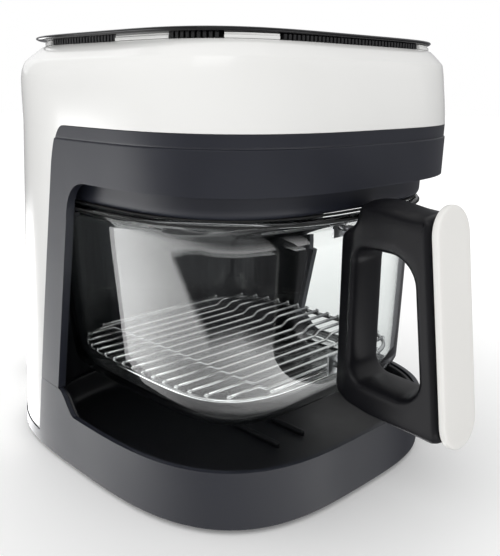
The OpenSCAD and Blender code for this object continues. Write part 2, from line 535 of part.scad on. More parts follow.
// grip outlines in the (y, z) plane; front face leans out towards the bottom
hz0 = foot_h + 59;
hz1 = foot_h + 206;
function grip_front(z) = lerp(-226, -207, (z - hz0)/(hz1 - hz0));
op_z0 = foot_h + 84;
op_z1 = op_z0 + finger_h;
module side_plate(w, p) rotate([90, 0, 90]) translate([0, 0, -w/2]) linear_extrude(w) polygon(p);
module handle_body() color(dark_col) difference() {
  intersection() {
    translate([0, 0, -1]) linear_extrude(260)
      polygon([[-20, -260], [20, -260], [17, -148], [11, -130], [-11, -130], [-17, -148]]);
    side_plate(34, concat(
      [[-131.8, foot_h + 70], [-131.8, rim_top - 14], [-150.5, rim_top - 6], [-150.5, foot_h + 204]],
      [for (t = [0:0.25:1]) bez([-165, foot_h + 204], [-200, foot_h + 196], [grip_front(hz1 - 8) + 5, hz1 - 8], t)],
      [[grip_front(hz0 + 2) + 5, hz0 + 2], [-205, hz0 + 1], [-160, foot_h + 62]]));
  }
  side_cut([[-150, op_z0 + 8], [-158, op_z0], [grip_front(op_z0) + 30, op_z0 - 3], [grip_front(op_z0) + 20, op_z0 + 5],
    [grip_front(op_z1) + 20, op_z1 - 14], [grip_front(op_z1) + 32, op_z1], [-158, op_z1], [-150, op_z1 - 4]]);
  for (z = [84, 182]) translate([0, -147, foot_h + z]) rotate([-90, 0, 0]) cylinder(r = 2.1, h = 27, $fn = 32);
}
function stadium(w, l) = concat([for (a = [0:7.5:180]) [w/2*cos(a), l/2 - w/2 + w/2*sin(a)]],
  [for (a = [180:7.5:360]) [w/2*cos(a), w/2 - l/2 + w/2*sin(a)]]);
module handle_cover() color([0.87, 0.86, 0.84]) translate([0, grip_front((hz0 + hz1)/2), (hz0 + hz1)/2])
  rotate([90 - atan(19/(hz1 - hz0)), 0, 0]) translate([0, 0, -4.8]) linear_extrude(4.8) polygon(stadium(grip_w, hz1 - hz0 + 3));
module handle_bracket() color(steel_col) difference() {
  for (z = [84, 182]) translate([-7, -127.8 + glass_t + 1.1, foot_h + z - 7]) cube([14, 1.5, 14]);
  for (z = [84, 182]) translate([0, -140, foot_h + z]) rotate([-90, 0, 0]) cylinder(r = 2.2, h = 40, $fn = 32);
}
module handle_screws() color(steel_col) for (z = [84, 182]) translate([0, -125.05 + glass_t, foot_h + z]) rotate([-90, 0, 0]) {
  pan_screw(24, 4, 8, 1.4);
}

// ---------- rack ----------
rk_z = bz0 + 17;
rk_x = 98;                    // half span of the rack frame
function rk_plan(g) = plan(rk_x - g, 96.2 - g, 97 - g, -23, 4.4);
function rk_half(y) = let (b = y < -23 ? 96.2 : 97) rk_x*pow(max(0, 1 - pow(abs(y + 23)/b, 4.4)), 1/4.4);
module rack_frame() color(steel_col) translate([0, 0, rk_z]) difference() {
  linear_extrude(3) polygon(rk_plan(0));
  translate([0, 0, -1]) linear_extrude(5) polygon(rk_plan(3));
}
rod_p = 188/(rod_n - 1);
module rack_rods() color(steel_col) for (i = [0:rod_n - 1]) let (y = -23 - 94 + i*rod_p, x = rk_half(y) - 0.5, m = min(x - 14, 66),
    z1 = rk_z + 3 + rod_d/2, z0 = z1 - 4) {
  if (i == 0 || i == rod_n - 1) rod([-x, y, z1], [x, y, z1], rod_d);
  else {
    for (s = [-1, 1]) {
      rod([s*x, y, z1], [s*(m + 7.6), y, z1], rod_d);
      rod([s*(m + 9), y, z1 + 0.2], [s*(m - 1), y, z0 - 0.2], rod_d*0.9);
    }
    rod([-m - 0.4, y, z0], [m + 0.4, y, z0], rod_d);
  }
}
module rack_feet() color([0.1, 0.1, 0.1]) for (x = [-60, 60], i = [3, 13]) translate([x, -23 - 94 + i*188/16, bz0 + glass_t + 0.4]) {
  cylinder(r = 4, h = 6, $fn = 32);
  translate([0, 0, 5.9]) cylinder(r = 2.6, h = rk_z + 3 - 4 - glass_t - bz0 - 6.4, $fn = 32);
}

outer_shell();
rear_cover();
front_frame();
collar_ring();
top_panel();
vent_ring();
panel_supports();
touch_board();
display_module();
power_board();
board_screws();
heater_chamber();
insulation_pad();
heat_shield();
heating_element();
element_terminals();
heater_guard();
temp_sensor();
thermal_cutout();
motor_bracket();
motor_cap();
motor_stator();
motor_windings();
motor_bearings();
motor_screws();
fan_shaft();
motor_rotor();
cooling_fan();
hot_air_fan();
fan_nut();
exhaust_duct();
exhaust_grille();
cavity_liner();
bowl_rails();
chamber_seal();
interlock_switch();
interlock_plunger();
plunger_spring();
wire_harness();
base_shell();
base_tray();
base_plate();
base_screws();
rubber_feet();
cover_screws();
cord_gland();
power_cord();
power_plug();
plug_pins();
cord_tie();
glass_bowl();
rim_seal();
handle_body();
handle_cover();
handle_bracket();
handle_screws();
rack_frame();
rack_rods();
rack_feet();
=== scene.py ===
import bpy, bmesh, json, math, bisect
from mathutils import Vector, Matrix

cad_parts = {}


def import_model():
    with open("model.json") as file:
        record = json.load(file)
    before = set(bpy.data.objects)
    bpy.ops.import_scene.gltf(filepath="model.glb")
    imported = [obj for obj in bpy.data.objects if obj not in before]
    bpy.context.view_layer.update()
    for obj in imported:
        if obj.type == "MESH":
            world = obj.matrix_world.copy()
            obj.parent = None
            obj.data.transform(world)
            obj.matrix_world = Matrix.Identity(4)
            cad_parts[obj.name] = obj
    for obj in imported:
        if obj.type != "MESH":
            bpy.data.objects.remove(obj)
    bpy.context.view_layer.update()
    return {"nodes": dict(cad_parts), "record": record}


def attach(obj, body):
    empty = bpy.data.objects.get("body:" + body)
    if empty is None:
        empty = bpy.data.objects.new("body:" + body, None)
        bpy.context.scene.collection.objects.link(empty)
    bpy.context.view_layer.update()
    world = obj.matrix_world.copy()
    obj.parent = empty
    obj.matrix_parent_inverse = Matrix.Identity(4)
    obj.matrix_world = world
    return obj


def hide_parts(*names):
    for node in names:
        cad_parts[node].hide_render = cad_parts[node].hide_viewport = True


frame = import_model()
scene = bpy.context.scene
MM = 0.001

# ------------------------------------------------------------------ numbers shared with the CAD (millimetres)
FOOT = 3.0
ZB = 249.8          # top of the dark band
ZT = 300.0          # white edge under the top panel
SEAM = 61.0
APRON = 44.0
REAR_EDGE = 13.0
BAND_LO = 215.0
RIDGE = 241.4
FAN_Y = -25.0
RIM = 198.0
BZ0 = 60.5
PN = 3.22
SWEEP = 3.8         # brightness of the pale sweep as mirrors see it


def lerp(a, b, t): return a + (b - a)*t
def clamp(v, a, b): return max(a, min(b, v))
def smooth(t): t = clamp(t, 0, 1); return t*t*(3 - 2*t)
def bez(p, q, r, t): return (1 - t)*(1 - t)*p + 2*t*(1 - t)*q + t*t*r


class Plan:
    """Closed plan curve, squarish. Its right half is held by arc length from the front centre to the rear centre."""

    def __init__(self, a, bf, br, y0, n, m=200):
        e = 2.0/n
        pts = []
        for i in range(m + 1):
            t = -math.pi/2 + (math.pi/2)*i/m
            pts.append((a*max(0.0, math.cos(t))**e, y0 - bf*abs(math.sin(t))**e))
        for i in range(1, m + 1):
            t = (math.pi/2)*i/m
            pts.append((a*max(0.0, math.cos(t))**e, y0 + br*math.sin(t)**e))
        pts[0] = (0.0, y0 - bf)
        pts[-1] = (0.0, y0 + br)
        self.p = pts
        self.y = [q[1] for q in pts]
        self.s = [0.0]
        for i in range(1, len(pts)):
            self.s.append(self.s[-1] + math.dist(pts[i - 1], pts[i]))
        self.L = self.s[-1]

    def at(self, q):
        q = clamp(q, 0.0, self.L)
        i = min(max(bisect.bisect_right(self.s, q) - 1, 0), len(self.p) - 2)
        f = (q - self.s[i])/max(1e-9, self.s[i + 1] - self.s[i])
        (x0, y0), (x1, y1) = self.p[i], self.p[i + 1]
        return (lerp(x0, x1, f), lerp(y0, y1, f))

    def s_at_y(self, y):
        i = min(max(bisect.bisect_right(self.y, y) - 1, 0), len(self.p) - 2)
        f = clamp((y - self.y[i])/max(1e-9, self.y[i + 1] - self.y[i]), 0, 1)
        return lerp(self.s[i], self.s[i + 1], f)

    def run(self, q0, q1, n):
        return [self.at(lerp(q0, q1, i/n)) for i in range(n + 1)]

    def ring(self, k=192):
        h = self.run(0, self.L, k//2)
        return h + [(-x, y) for x, y in reversed(h[1:-1])]


def bt(z): return clamp((z - FOOT)/246.8, 0, 1)
def ba(z): return lerp(133.0, 135.0, bt(z))
def bb(z): return lerp(152.5, 135.0, bt(z))
def by(z): return -20.0*bt(z)


def body(z, g=0.0, s=1.0, rear=None):
    b = bb(z)*s - g
    return Plan(ba(z)*s - g, b, b if rear is None else min(b, rear - by(z)), by(z), PN)


def leg_out(z): return 18 + .237*(196 - z)
def leg_in(z): return -4.5 + .209*(192 - z)
def leg_rear(t): return (bez(-6, 4, leg_out(ZB - 24), t), bez(ZB, ZB, ZB - 24, t))


# ------------------------------------------------------------------ materials
def new_mat(name):
    m = bpy.data.materials.new(name)
    m.use_nodes = True
    nt = m.node_tree
    for n in list(nt.nodes):
        nt.nodes.remove(n)
    out = nt.nodes.new("ShaderNodeOutputMaterial")
    bs = nt.nodes.new("ShaderNodeBsdfPrincipled")
    nt.links.new(bs.outputs[0], out.inputs[0])
    return m, nt, bs, out


def coords(nt, scale=(1, 1, 1)):
    tc = nt.nodes.new("ShaderNodeTexCoord")
    mp = nt.nodes.new("ShaderNodeMapping")
    mp.inputs["Scale"].default_value = scale
    nt.links.new(tc.outputs["Object"], mp.inputs["Vector"])
    return mp.outputs[0]


def noise(nt, vec, scale, detail=3.0, rough=.5):
    n = nt.nodes.new("ShaderNodeTexNoise")
    n.inputs["Scale"].default_value = scale
    n.inputs["Detail"].default_value = detail
    n.inputs["Roughness"].default_value = rough
    nt.links.new(vec, n.inputs["Vector"])
    return n.outputs[0]


def ramp(nt, fac, stops):
    r = nt.nodes.new("ShaderNodeValToRGB")
    e = r.color_ramp.elements
    while len(e) < len(stops):
        e.new(.5)
    for el, (p, c) in zip(e, stops):
        el.position = p
        el.color = (c[0], c[1], c[2], 1) if isinstance(c, (tuple, list)) else (c, c, c, 1)
    nt.links.new(fac, r.inputs[0])
    return r.outputs[0]


def maprange(nt, fac, a, b, c, d):
    r = nt.nodes.new("ShaderNodeMapRange")
    r.inputs[1].default_value, r.inputs[2].default_value = a, b
    r.inputs[3].default_value, r.inputs[4].default_value = c, d
    nt.links.new(fac, r.inputs[0])
    return r.outputs[0]


def mixcol(nt, fac, a, b):
    m = nt.nodes.new("ShaderNodeMix")
    m.data_type = "RGBA"
    if hasattr(fac, "node"):
        nt.links.new(fac, m.inputs[0])
    else:
        m.inputs[0].default_value = fac
    for i, c in ((6, a), (7, b)):
        if hasattr(c, "node"):
            nt.links.new(c, m.inputs[i])
        else:
            m.inputs[i].default_value = (*c, 1)
    return m.outputs[2]


def bump(nt, bs, height, strength, dist):
    b = nt.nodes.new("ShaderNodeBump")
    b.inputs["Strength"].default_value = strength
    b.inputs["Distance"].default_value = dist
    nt.links.new(height, b.inputs["Height"])
    nt.links.new(b.outputs[0], bs.inputs["Normal"])
    return b


def plastic(name, base, rough, var=.05, grain=2600, gstr=.25, gdist=.00006, coat=0.0, coat_r=.05, broad=18, spec=.5, rvar=.05,
            edge_highlight=0.0):
    """Moulded plastic: slow colour drift, fine texture in the mould, uneven gloss and, if asked, painted highlights on
    convex edges.
    """
    m, nt, bs, out = new_mat(name)
    v = coords(nt)
    slow = noise(nt, v, broad, 4, .6)
    fine = noise(nt, v, grain, 3, .6)
    dark = tuple(c*(1 - var) for c in base)
    light = tuple(min(1, c*(1 + var)) for c in base)
    col = mixcol(nt, maprange(nt, slow, .3, .7, 0, 1), dark, light)
    if edge_highlight:
        # painted highlight: convex edges (pointiness) get a lighter colour where light would catch them
        geo = nt.nodes.new("ShaderNodeNewGeometry")
        edge = maprange(nt, geo.outputs["Pointiness"], .51, .56, 0, edge_highlight)
        col = mixcol(nt, edge, col, tuple(min(1, c*1.8 + .02) for c in base))
    nt.links.new(col, bs.inputs["Base Color"])
    nt.links.new(maprange(nt, slow, .25, .75, rough - rvar, rough + rvar), bs.inputs["Roughness"])
    bs.inputs["Specular IOR Level"].default_value = spec
    bs.inputs["Coat Weight"].default_value = coat
    bs.inputs["Coat Roughness"].default_value = coat_r
    bump(nt, bs, fine, gstr, gdist)
    return m


def metal(name, base, rough, brush=(1, 1, 1), scale=900, gstr=.15, var=.06, gdist=.00004, metallic=1.0, tint=None):
    """Metal with brushing stretched along one axis, slow smudges and, if asked, heat tint."""
    m, nt, bs, out = new_mat(name)
    v = coords(nt, brush)
    fine = noise(nt, v, scale, 3, .7)
    slow = noise(nt, coords(nt), 26, 4, .6)
    dark = tuple(c*(1 - var) for c in base)
    light = tuple(min(1, c*(1 + var)) for c in base)
    col = mixcol(nt, maprange(nt, fine, .3, .7, 0, 1), dark, light)
    if tint:
        col = mixcol(nt, maprange(nt, slow, .42, .66, 0, .7), col, tint)
    nt.links.new(col, bs.inputs["Base Color"])
    r = nt.nodes.new("ShaderNodeMath")
    r.operation = "ADD"
    nt.links.new(maprange(nt, slow, .3, .7, rough*.8, rough*1.15), r.inputs[0])
    nt.links.new(maprange(nt, fine, .3, .7, -.03, .05), r.inputs[1])
    nt.links.new(r.outputs[0], bs.inputs["Roughness"])
    bs.inputs["Metallic"].default_value = metallic
    bump(nt, bs, fine, gstr, gdist)
    return m


M = {}
M["white_shell"] = plastic("white_shell", (.79, .788, .772), .2, var=.012, grain=420, gstr=.05, gdist=.00008, coat=.5, coat_r=.04, broad=7, rvar=.03)
# frame plastic carries a painted highlight on its convex edges
M["frame_grey"] = plastic("frame_grey", (.0118, .0132, .0205), .40, var=.10, grain=3200, gstr=.30, gdist=.00005, broad=14, spec=.42, rvar=.05, edge_highlight=.3)
M["tray_dark"] = plastic("tray_dark", (.007, .007, .009), .42, var=.14, grain=2400, gstr=.35, gdist=.00006, broad=20, rvar=.06)
M["black_gloss"] = plastic("black_gloss", (.003, .003, .004), .10, var=.1, grain=300, gstr=.02, gdist=.00005, broad=9, spec=.30, rvar=.02)
M["black_plastic"] = plastic("black_plastic", (.008, .008, .009), .5, var=.12, grain=2600, gstr=.3, gdist=.00005, rvar=.06)
M["black_rubber"] = plastic("black_rubber", (.018, .018, .018), .62, var=.12, grain=1700, gstr=.5, gdist=.00008, spec=.35, rvar=.07)
M["red_silicone"] = plastic("red_silicone", (.38, .035, .025), .45, var=.12, grain=1500, gstr=.3, gdist=.00005)
M["red_plastic"] = plastic("red_plastic", (.48, .04, .03), .35, var=.08, grain=2200, gstr=.25)
# handle plastic carries a painted highlight on its convex edges
M["handle_black"] = plastic("handle_black", (.006, .006, .0075), .34, var=.09, grain=3000, gstr=.25, gdist=.00005, broad=16, spec=.18, rvar=.05, edge_highlight=.15)
M["grip_white"] = plastic("grip_white", (.80, .79, .765), .42, var=.012, grain=900, gstr=.08, gdist=.00005, broad=10, spec=.3, rvar=.03)
M["ceramic_white"] = plastic("ceramic_white", (.80, .77, .68), .2, var=.05, grain=700, gstr=.1, coat=.5)
M["mineral_wool"] = plastic("mineral_wool", (.62, .57, .44), .9, var=.25, grain=700, gstr=.9, gdist=.0006, broad=60, spec=.2)
M["marking_grey"] = plastic("marking_grey", (.30, .30, .31), .3, var=.04, grain=1600, gstr=.1)
M["display_glass"] = plastic("display_glass", (.012, .018, .020), .05, var=.3, grain=2000, gstr=.05, coat=1)
M["steel"] = metal("steel", (.56, .56, .57), .30, brush=(1, 1, 12), scale=500)
M["aluminium_sheet"] = metal("aluminium_sheet", (.74, .74, .75), .36, brush=(10, 1, 1), scale=420)
M["heater_tube"] = metal("heater_tube", (.17, .155, .145), .5, scale=1400, gstr=.3, tint=(.10, .06, .045), var=.15)
M["lamination"] = metal("lamination", (.28, .28, .30), .45, brush=(1, 1, 30), scale=300, gstr=.5, gdist=.0002)
M["copper_wire"] = metal("copper_wire", (.72, .33, .15), .28, brush=(2, 2, 20), scale=260, gstr=.7, gdist=.0003, tint=(.45, .16, .07))
M["sintered_bronze"] = metal("sintered_bronze", (.50, .36, .18), .5, scale=2600, gstr=.5, var=.15)
M["bright_steel"] = metal("bright_steel", (.80, .80, .80), .17, scale=900, gstr=.05)


def liner_mat():
    m, nt, bs, out = new_mat("coated_steel")
    sheen_streak = noise(nt, coords(nt, (60, 60, 1.2)), 1.0, 4, .6)
    fine = noise(nt, coords(nt), 2600, 3, .6)
    # painted sheen: lighter vertical streaks in the base colour stand in for vertical sheen; the same noise also varies
    # the roughness
    col = mixcol(nt, maprange(nt, sheen_streak, .35, .65, 0, 1), (.006, .006, .007), (.022, .022, .026))
    nt.links.new(col, bs.inputs["Base Color"])
    nt.links.new(maprange(nt, sheen_streak, .3, .7, .32, .5), bs.inputs["Roughness"])
    bs.inputs["Specular IOR Level"].default_value = .22
    bump(nt, bs, fine, .2, .00004)
    return m


def circuit_mat():
    m, nt, bs, out = new_mat("circuit_green")
    v = coords(nt)
    vor = nt.nodes.new("ShaderNodeTexVoronoi")
    vor.distance = "MANHATTAN"
    vor.feature = "DISTANCE_TO_EDGE" if False else "F1"
    vor.inputs["Scale"].default_value = 320
    nt.links.new(v, vor.inputs["Vector"])
    col = mixcol(nt, maprange(nt, vor.outputs[0], .25, .3, 1, 0), (.012, .085, .035), (.03, .17, .07))
    nt.links.new(col, bs.inputs["Base Color"])
    nt.links.new(maprange(nt, noise(nt, v, 40), .3, .7, .28, .42), bs.inputs["Roughness"])
    bump(nt, bs, vor.outputs[0], .2, .00005)
    return m


def glass_mat():
    m, nt, bs, out = new_mat("clear_glass")
    v = coords(nt)
    smear = noise(nt, v, 22, 4, .6)
    bs.inputs["Base Color"].default_value = (.975, .99, .985, 1)
    nt.links.new(mixcol(nt, maprange(nt, smear, .3, .7, 0, 1), (.965, .985, .978), (.99, 1, .995)), bs.inputs["Base Color"])
    nt.links.new(maprange(nt, smear, .45, .8, .0, .035), bs.inputs["Roughness"])
    bs.inputs["IOR"].default_value = 1.47
    bs.inputs["Transmission Weight"].default_value = 1
    lp = nt.nodes.new("ShaderNodeLightPath")
    mx = nt.nodes.new("ShaderNodeMath")
    mx.operation = "MAXIMUM"
    nt.links.new(lp.outputs["Is Shadow Ray"], mx.inputs[0])
    nt.links.new(lp.outputs["Is Diffuse Ray"], mx.inputs[1])
    tr = nt.nodes.new("ShaderNodeBsdfTransparent")
    tr.inputs[0].default_value = (.93, .96, .95, 1)
    mix = nt.nodes.new("ShaderNodeMixShader")
    nt.links.new(mx.outputs[0], mix.inputs[0])
    nt.links.new(bs.outputs[0], mix.inputs[1])
    nt.links.new(tr.outputs[0], mix.inputs[2])
    nt.links.new(mix.outputs[0], out.inputs[0])
    va = nt.nodes.new("ShaderNodeVolumeAbsorption")
    va.inputs["Color"].default_value = (.72, .86, .82, 1)
    va.inputs["Density"].default_value = 7
    nt.links.new(va.outputs[0], out.inputs["Volume"])
    return m


M["coated_steel"] = liner_mat()
M["circuit_green"] = circuit_mat()
M["clear_glass"] = glass_mat()

# ------------------------------------------------------------------ mesh helpers
def obj(name, verts, faces, mat, body_name, slot=None, smooth_on=True, recalc=False, replaces=()):
    me = bpy.data.meshes.new(name)
    me.from_pydata([(x*MM, y*MM, z*MM) for x, y, z in verts], [], faces)
    if recalc:
        bm = bmesh.new()
        bm.from_mesh(me)
        bmesh.ops.remove_doubles(bm, verts=bm.verts, dist=1e-7)
        bmesh.ops.recalc_face_normals(bm, faces=bm.faces)
        bm.to_mesh(me)
        bm.free()
    me.validate()
    me.update()
    for p in me.polygons:
        p.use_smooth = smooth_on
    me.materials.append(M[mat])
    ob = bpy.data.objects.new(name, me)
    scene.collection.objects.link(ob)
    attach(ob, body_name)
    if replaces:
        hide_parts(*replaces)
    return ob


def rows_faces(nr, nc, closed_u=False, closed_v=False, keep=None, base=0):
    f = []
    for r in range(nr if closed_v else nr - 1):
        for c in range(nc if closed_u else nc - 1):
            if keep and not keep(r, c):
                continue
            r2, c2 = (r + 1) % nr, (c + 1) % nc
            f.append((base + r*nc + c, base + r*nc + c2, base + r2*nc + c2, base + r2*nc + c))
    return f


def solidify(ob, t, offset=-1.0):
    s = ob.modifiers.new("thick", "SOLIDIFY")
    s.thickness = t*MM
    s.offset = offset
    s.use_even_offset = False
    return ob


def bevel(ob, w, seg=2, angle=38):
    b = ob.modifiers.new("edge", "BEVEL")
    b.width = w*MM
    b.segments = seg
    b.limit_method = "ANGLE"
    b.angle_limit = math.radians(angle)
    b.harden_normals = True
    b.use_clamp_overlap = True
    return b


def loft(name, levels, mat, body_name, k=192, cap=(True, True), closed_v=False, **kw):
    """levels: list of (Plan, z). Solid loft with flat ends, or a ring when closed_v."""
    vs = []
    for p, z in levels:
        vs += [(x, y, z) for x, y in p.ring(k)]
    n = len(levels)
    fs = rows_faces(n, k, closed_u=True, closed_v=closed_v)
    if not closed_v:
        if cap[0]:
            fs.append(tuple(range(k))[::-1])
        if cap[1]:
            fs.append(tuple((n - 1)*k + i for i in range(k)))
    return obj(name, vs, fs, mat, body_name, recalc=True, **kw)


def sweep(path, r, seg=10, closed=False, taper=None):
    """Tube along points; returns verts and faces in mm."""
    P = [Vector(p) for p in path]
    n = len(P)
    vs, fs = [], []
    prev = None
    for i, p in enumerate(P):
        a = P[(i - 1) % n] if closed or i > 0 else p
        b = P[(i + 1) % n] if closed or i < n - 1 else p
        t = (b - a).normalized()
        if prev is None:
            u = t.orthogonal().normalized()
            if abs(t.z) < .99:
                u = t.cross(Vector((0, 0, 1))).normalized()
        else:
            u = (prev - t*prev.dot(t)).normalized()
        prev = u
        w = t.cross(u)
        rr = r*(taper[i] if taper else 1.0)
        for j in range(seg):
            q = 2*math.pi*j/seg
            vs.append(tuple(p + u*(rr*math.cos(q)) + w*(rr*math.sin(q))))
    for i in range(n if closed else n - 1):
        i2 = (i + 1) % n
        for j in range(seg):
            j2 = (j + 1) % seg
            fs.append((i*seg + j, i*seg + j2, i2*seg + j2, i2*seg + j))
    if not closed:
        fs.append(tuple(range(seg))[::-1])
        fs.append(tuple((n - 1)*seg + j for j in range(seg)))
    return vs, fs


def round_end_rod(p, q, r, seg=10):
    p, q = Vector(p), Vector(q)
    d = (q - p).normalized()
    path = [p + d*(r*.05), p + d*(r*.35), p + d*r, q - d*r, q - d*(r*.35), q - d*(r*.05)]
    return sweep(path, r, seg, taper=[.3, .76, 1, 1, .76, .3])


def gather(parts):
    vs, fs = [], []
    for v, f in parts:
        b = len(vs)
        vs += v
        fs += [tuple(b + i for i in q) for q in f]
    return vs, fs


def lathe(profile, origin, axis, seg=64):
    """profile: (radius, distance along axis). Closed solid of revolution; profile starts and ends on the axis or closes on itself."""
    o, ax = Vector(origin), Vector(axis).normalized()
    u = ax.orthogonal().normalized()
    w = ax.cross(u)
    vs = []
    for r, h in profile:
        for j in range(seg):
            q = 2*math.pi*j/seg
            vs.append(tuple(o + ax*h + u*(r*math.cos(q)) + w*(r*math.sin(q))))
    n = len(profile)
    fs = []
    for i in range(n - 1):
        for j in range(seg):
            j2 = (j + 1) % seg
            fs.append((i*seg + j, i*seg + j2, (i + 1)*seg + j2, (i + 1)*seg + j))
    fs.append(tuple(range(seg))[::-1])
    fs.append(tuple((n - 1)*seg + j for j in range(seg)))
    return vs, fs


def ball(c, r, seg=12):
    prof = [(r*math.sin(math.pi*i/8), -r*math.cos(math.pi*i/8)) for i in range(1, 8)]
    return lathe(prof, c, (0, 0, 1), seg)


def box_part(x0, x1, y0, y1, z0, z1):
    v = [(x, y, z) for z in (z0, z1) for y in (y0, y1) for x in (x0, x1)]
    f = [(0, 2, 3, 1), (4, 5, 7, 6), (0, 1, 5, 4), (2, 6, 7, 3), (1, 3, 7, 5), (0, 4, 6, 2)]
    return v, f


def prism(outline, z0, z1):
    n = len(outline)
    v = [(x, y, z0) for x, y in outline] + [(x, y, z1) for x, y in outline]
    f = [tuple(range(n))[::-1], tuple(range(n, 2*n))]
    f += [(i, (i + 1) % n, n + (i + 1) % n, n + i) for i in range(n)]
    return v, f


# ------------------------------------------------------------------ white housing
def outer_shell():
    NR, NF = 56, 56
    levels = []                                   # (plan, z, y where the dark leg begins or None)
    z = REAR_EDGE
    while z < ZB - 24.001:
        levels.append((body(z), z, leg_out(z) + .15))
        z += (ZB - 24 - REAR_EDGE)/26
    for t in (1, .85, .7, .55, .42, .3, .2, .1):
        y, z = leg_rear(t)
        levels.append((body(z), z, y + .15))
    crown = [(ZB, (135, 135, 135, -20, PN)), (258, (135, 134.3, 135, -20, PN)), (266, (135, 133.2, 135, -20, PN)),
             (273, (134.9, 132.1, 134.9, -20, 3.22)), (279, (134.5, 131.0, 134.4, -20, 3.25)), (283.5, (133.6, 129.9, 133.2, -20.2, 3.3)),
             (287.5, (131.9, 128.2, 131.0, -20.7, 3.4)), (289.8, (130.4, 126.8, 129.2, -21.1, 3.5)), (290.6, (129.6, 126.0, 128.2, -21.3, 3.55)),
             (291.2, (128.7, 125.0, 127.2, -21.5, 3.6)), (294, (125.2, 120.4, 122.6, -22.6, 3.8)),
             (297, (121.4, 115.2, 117.6, -23.9, 4.05)), (299.2, (118.3, 110.8, 113.4, -24.8, 4.3)), (300.0, (116.7, 108.9, 111.4, -25, 4.3))]
    cr = [(Plan(*a), z) for z, a in crown]
    nl = len(levels)
    nrc = 2*NR + 1
    vs, fs = [], []
    for p, z, y in levels:
        h = p.run(p.s_at_y(y), p.L, NR)
        row = h + [(-x, yy) for x, yy in reversed(h[:-1])]
        vs += [(x, yy, z) for x, yy in row]
    fs += rows_faces(nl, nrc)
    base = len(vs)
    k = nrc + 2*NF - 1
    for i, (p, z) in enumerate(cr):
        s0 = p.s_at_y(-6 + .15)
        h = p.run(s0, p.L, NR)
        row = h + [(-x, yy) for x, yy in reversed(h[:-1])]
        fr = p.run(0, s0, NF)[:-1]                # front centre .. just before the leg
        row += [(-x, yy) for x, yy in reversed(fr)] + fr[1:]
        vs += [(x, yy, z) for x, yy in row]
    for r in range(len(cr) - 1):
        for c in range(k):
            c2 = (c + 1) % k
            fs.append((base + r*k + c, base + r*k + c2, base + (r + 1)*k + c2, base + (r + 1)*k + c))
    for c in range(nrc - 1):                      # join the straight wall to the crown
        a = (nl - 1)*nrc + c
        fs.append((a, a + 1, base + c + 1, base + c))
    ob = obj("shell_white", vs, fs, "white_shell", "housing", replaces=("outer_shell",))
    solidify(ob, 2.6)
    bevel(ob, .45, 2)


def surf_y(x, z, g=0.0):
    a, b = ba(z) - g, bb(z) - g
    return by(z) + b*max(0.0, 1 - (abs(x)/a)**PN)**(1/PN)


def rear_parts():
    xs = sorted(set([-77.6 + i*(155.2/44) for i in range(45)] + [-45.4, 45.4]))
    zs = sorted(set([25.5 + i*(222/36) for i in range(37)] + [223.6, 244.4]))
    vs = [(x, surf_y(x, z, -.75), z) for z in zs for x in reversed(xs)]
    n = len(xs)

    def keep(r, c):
        xm = (list(reversed(xs))[c] + list(reversed(xs))[c + 1])/2
        zm = (zs[r] + zs[r + 1])/2
        return not (abs(xm) < 45.4 and 223.6 < zm < 244.4)
    ob = obj("rear_cover_panel", vs, rows_faces(len(zs), n, keep=keep), "white_shell", "housing", replaces=("rear_cover",))
    solidify(ob, 1.6)
    bevel(ob, .4, 2)
    # dark ring round the cover: painted shade standing in for the shadow in the parting groove
    path = []
    for i in range(40): path.append((lerp(-78.3, 78.3, i/39), 24.9))
    for i in range(1, 40): path.append((78.3, lerp(24.9, 248.2, i/39)))
    for i in range(1, 40): path.append((lerp(78.3, -78.3, i/39), 248.2))
    for i in range(1, 39): path.append((-78.3, lerp(248.2, 24.9, i/39)))
    v, f = sweep([(x, surf_y(x, z, .12), z) for x, z in path], .42, 6, closed=True)
    obj("rear_cover_gap_shade", v, f, "black_plastic", "housing", recalc=True)
    # louvred outlet
    xs2, zs2 = [-45], [224, 227.2, 240.8, 244]
    for i in range(-7, 8):
        xs2 += [i*5.6 - 1.4, i*5.6 + 1.4]
    xs2.append(45)
    vs = [(x, surf_y(x, z, -1.5), z) for z in zs2 for x in reversed(xs2)]
    rx = list(reversed(xs2))

    def keep2(r, c):
        return not (r == 1 and c % 2 == 1)
    ob = obj("outlet_grille", vs, rows_faces(len(zs2), len(xs2), keep=keep2), "black_plastic", "housing", replaces=("exhaust_grille",))
    solidify(ob, 3.6)
    bevel(ob, .35, 2)
    parts = []
    for i in range(-7, 8):                         # slanted vanes inside the slots
        x = i*5.6
        y = surf_y(x, 234, 0)
        parts.append(([(x - 1.2, y - 5.5, 227), (x + .9, y - 1.2, 227), (x + 1.2, y - 1.35, 227), (x - .9, y - 5.65, 227),
                       (x - 1.2, y - 5.5, 241), (x + .9, y - 1.2, 241), (x + 1.2, y - 1.35, 241), (x - .9, y - 5.65, 241)],
                      [(0, 1, 2, 3), (4, 7, 6, 5), (0, 4, 5, 1), (1, 5, 6, 2), (2, 6, 7, 3), (3, 7, 4, 0)]))
    v, f = gather(parts)
    obj("outlet_vanes", v, f, "black_plastic", "housing", smooth_on=False, recalc=True)


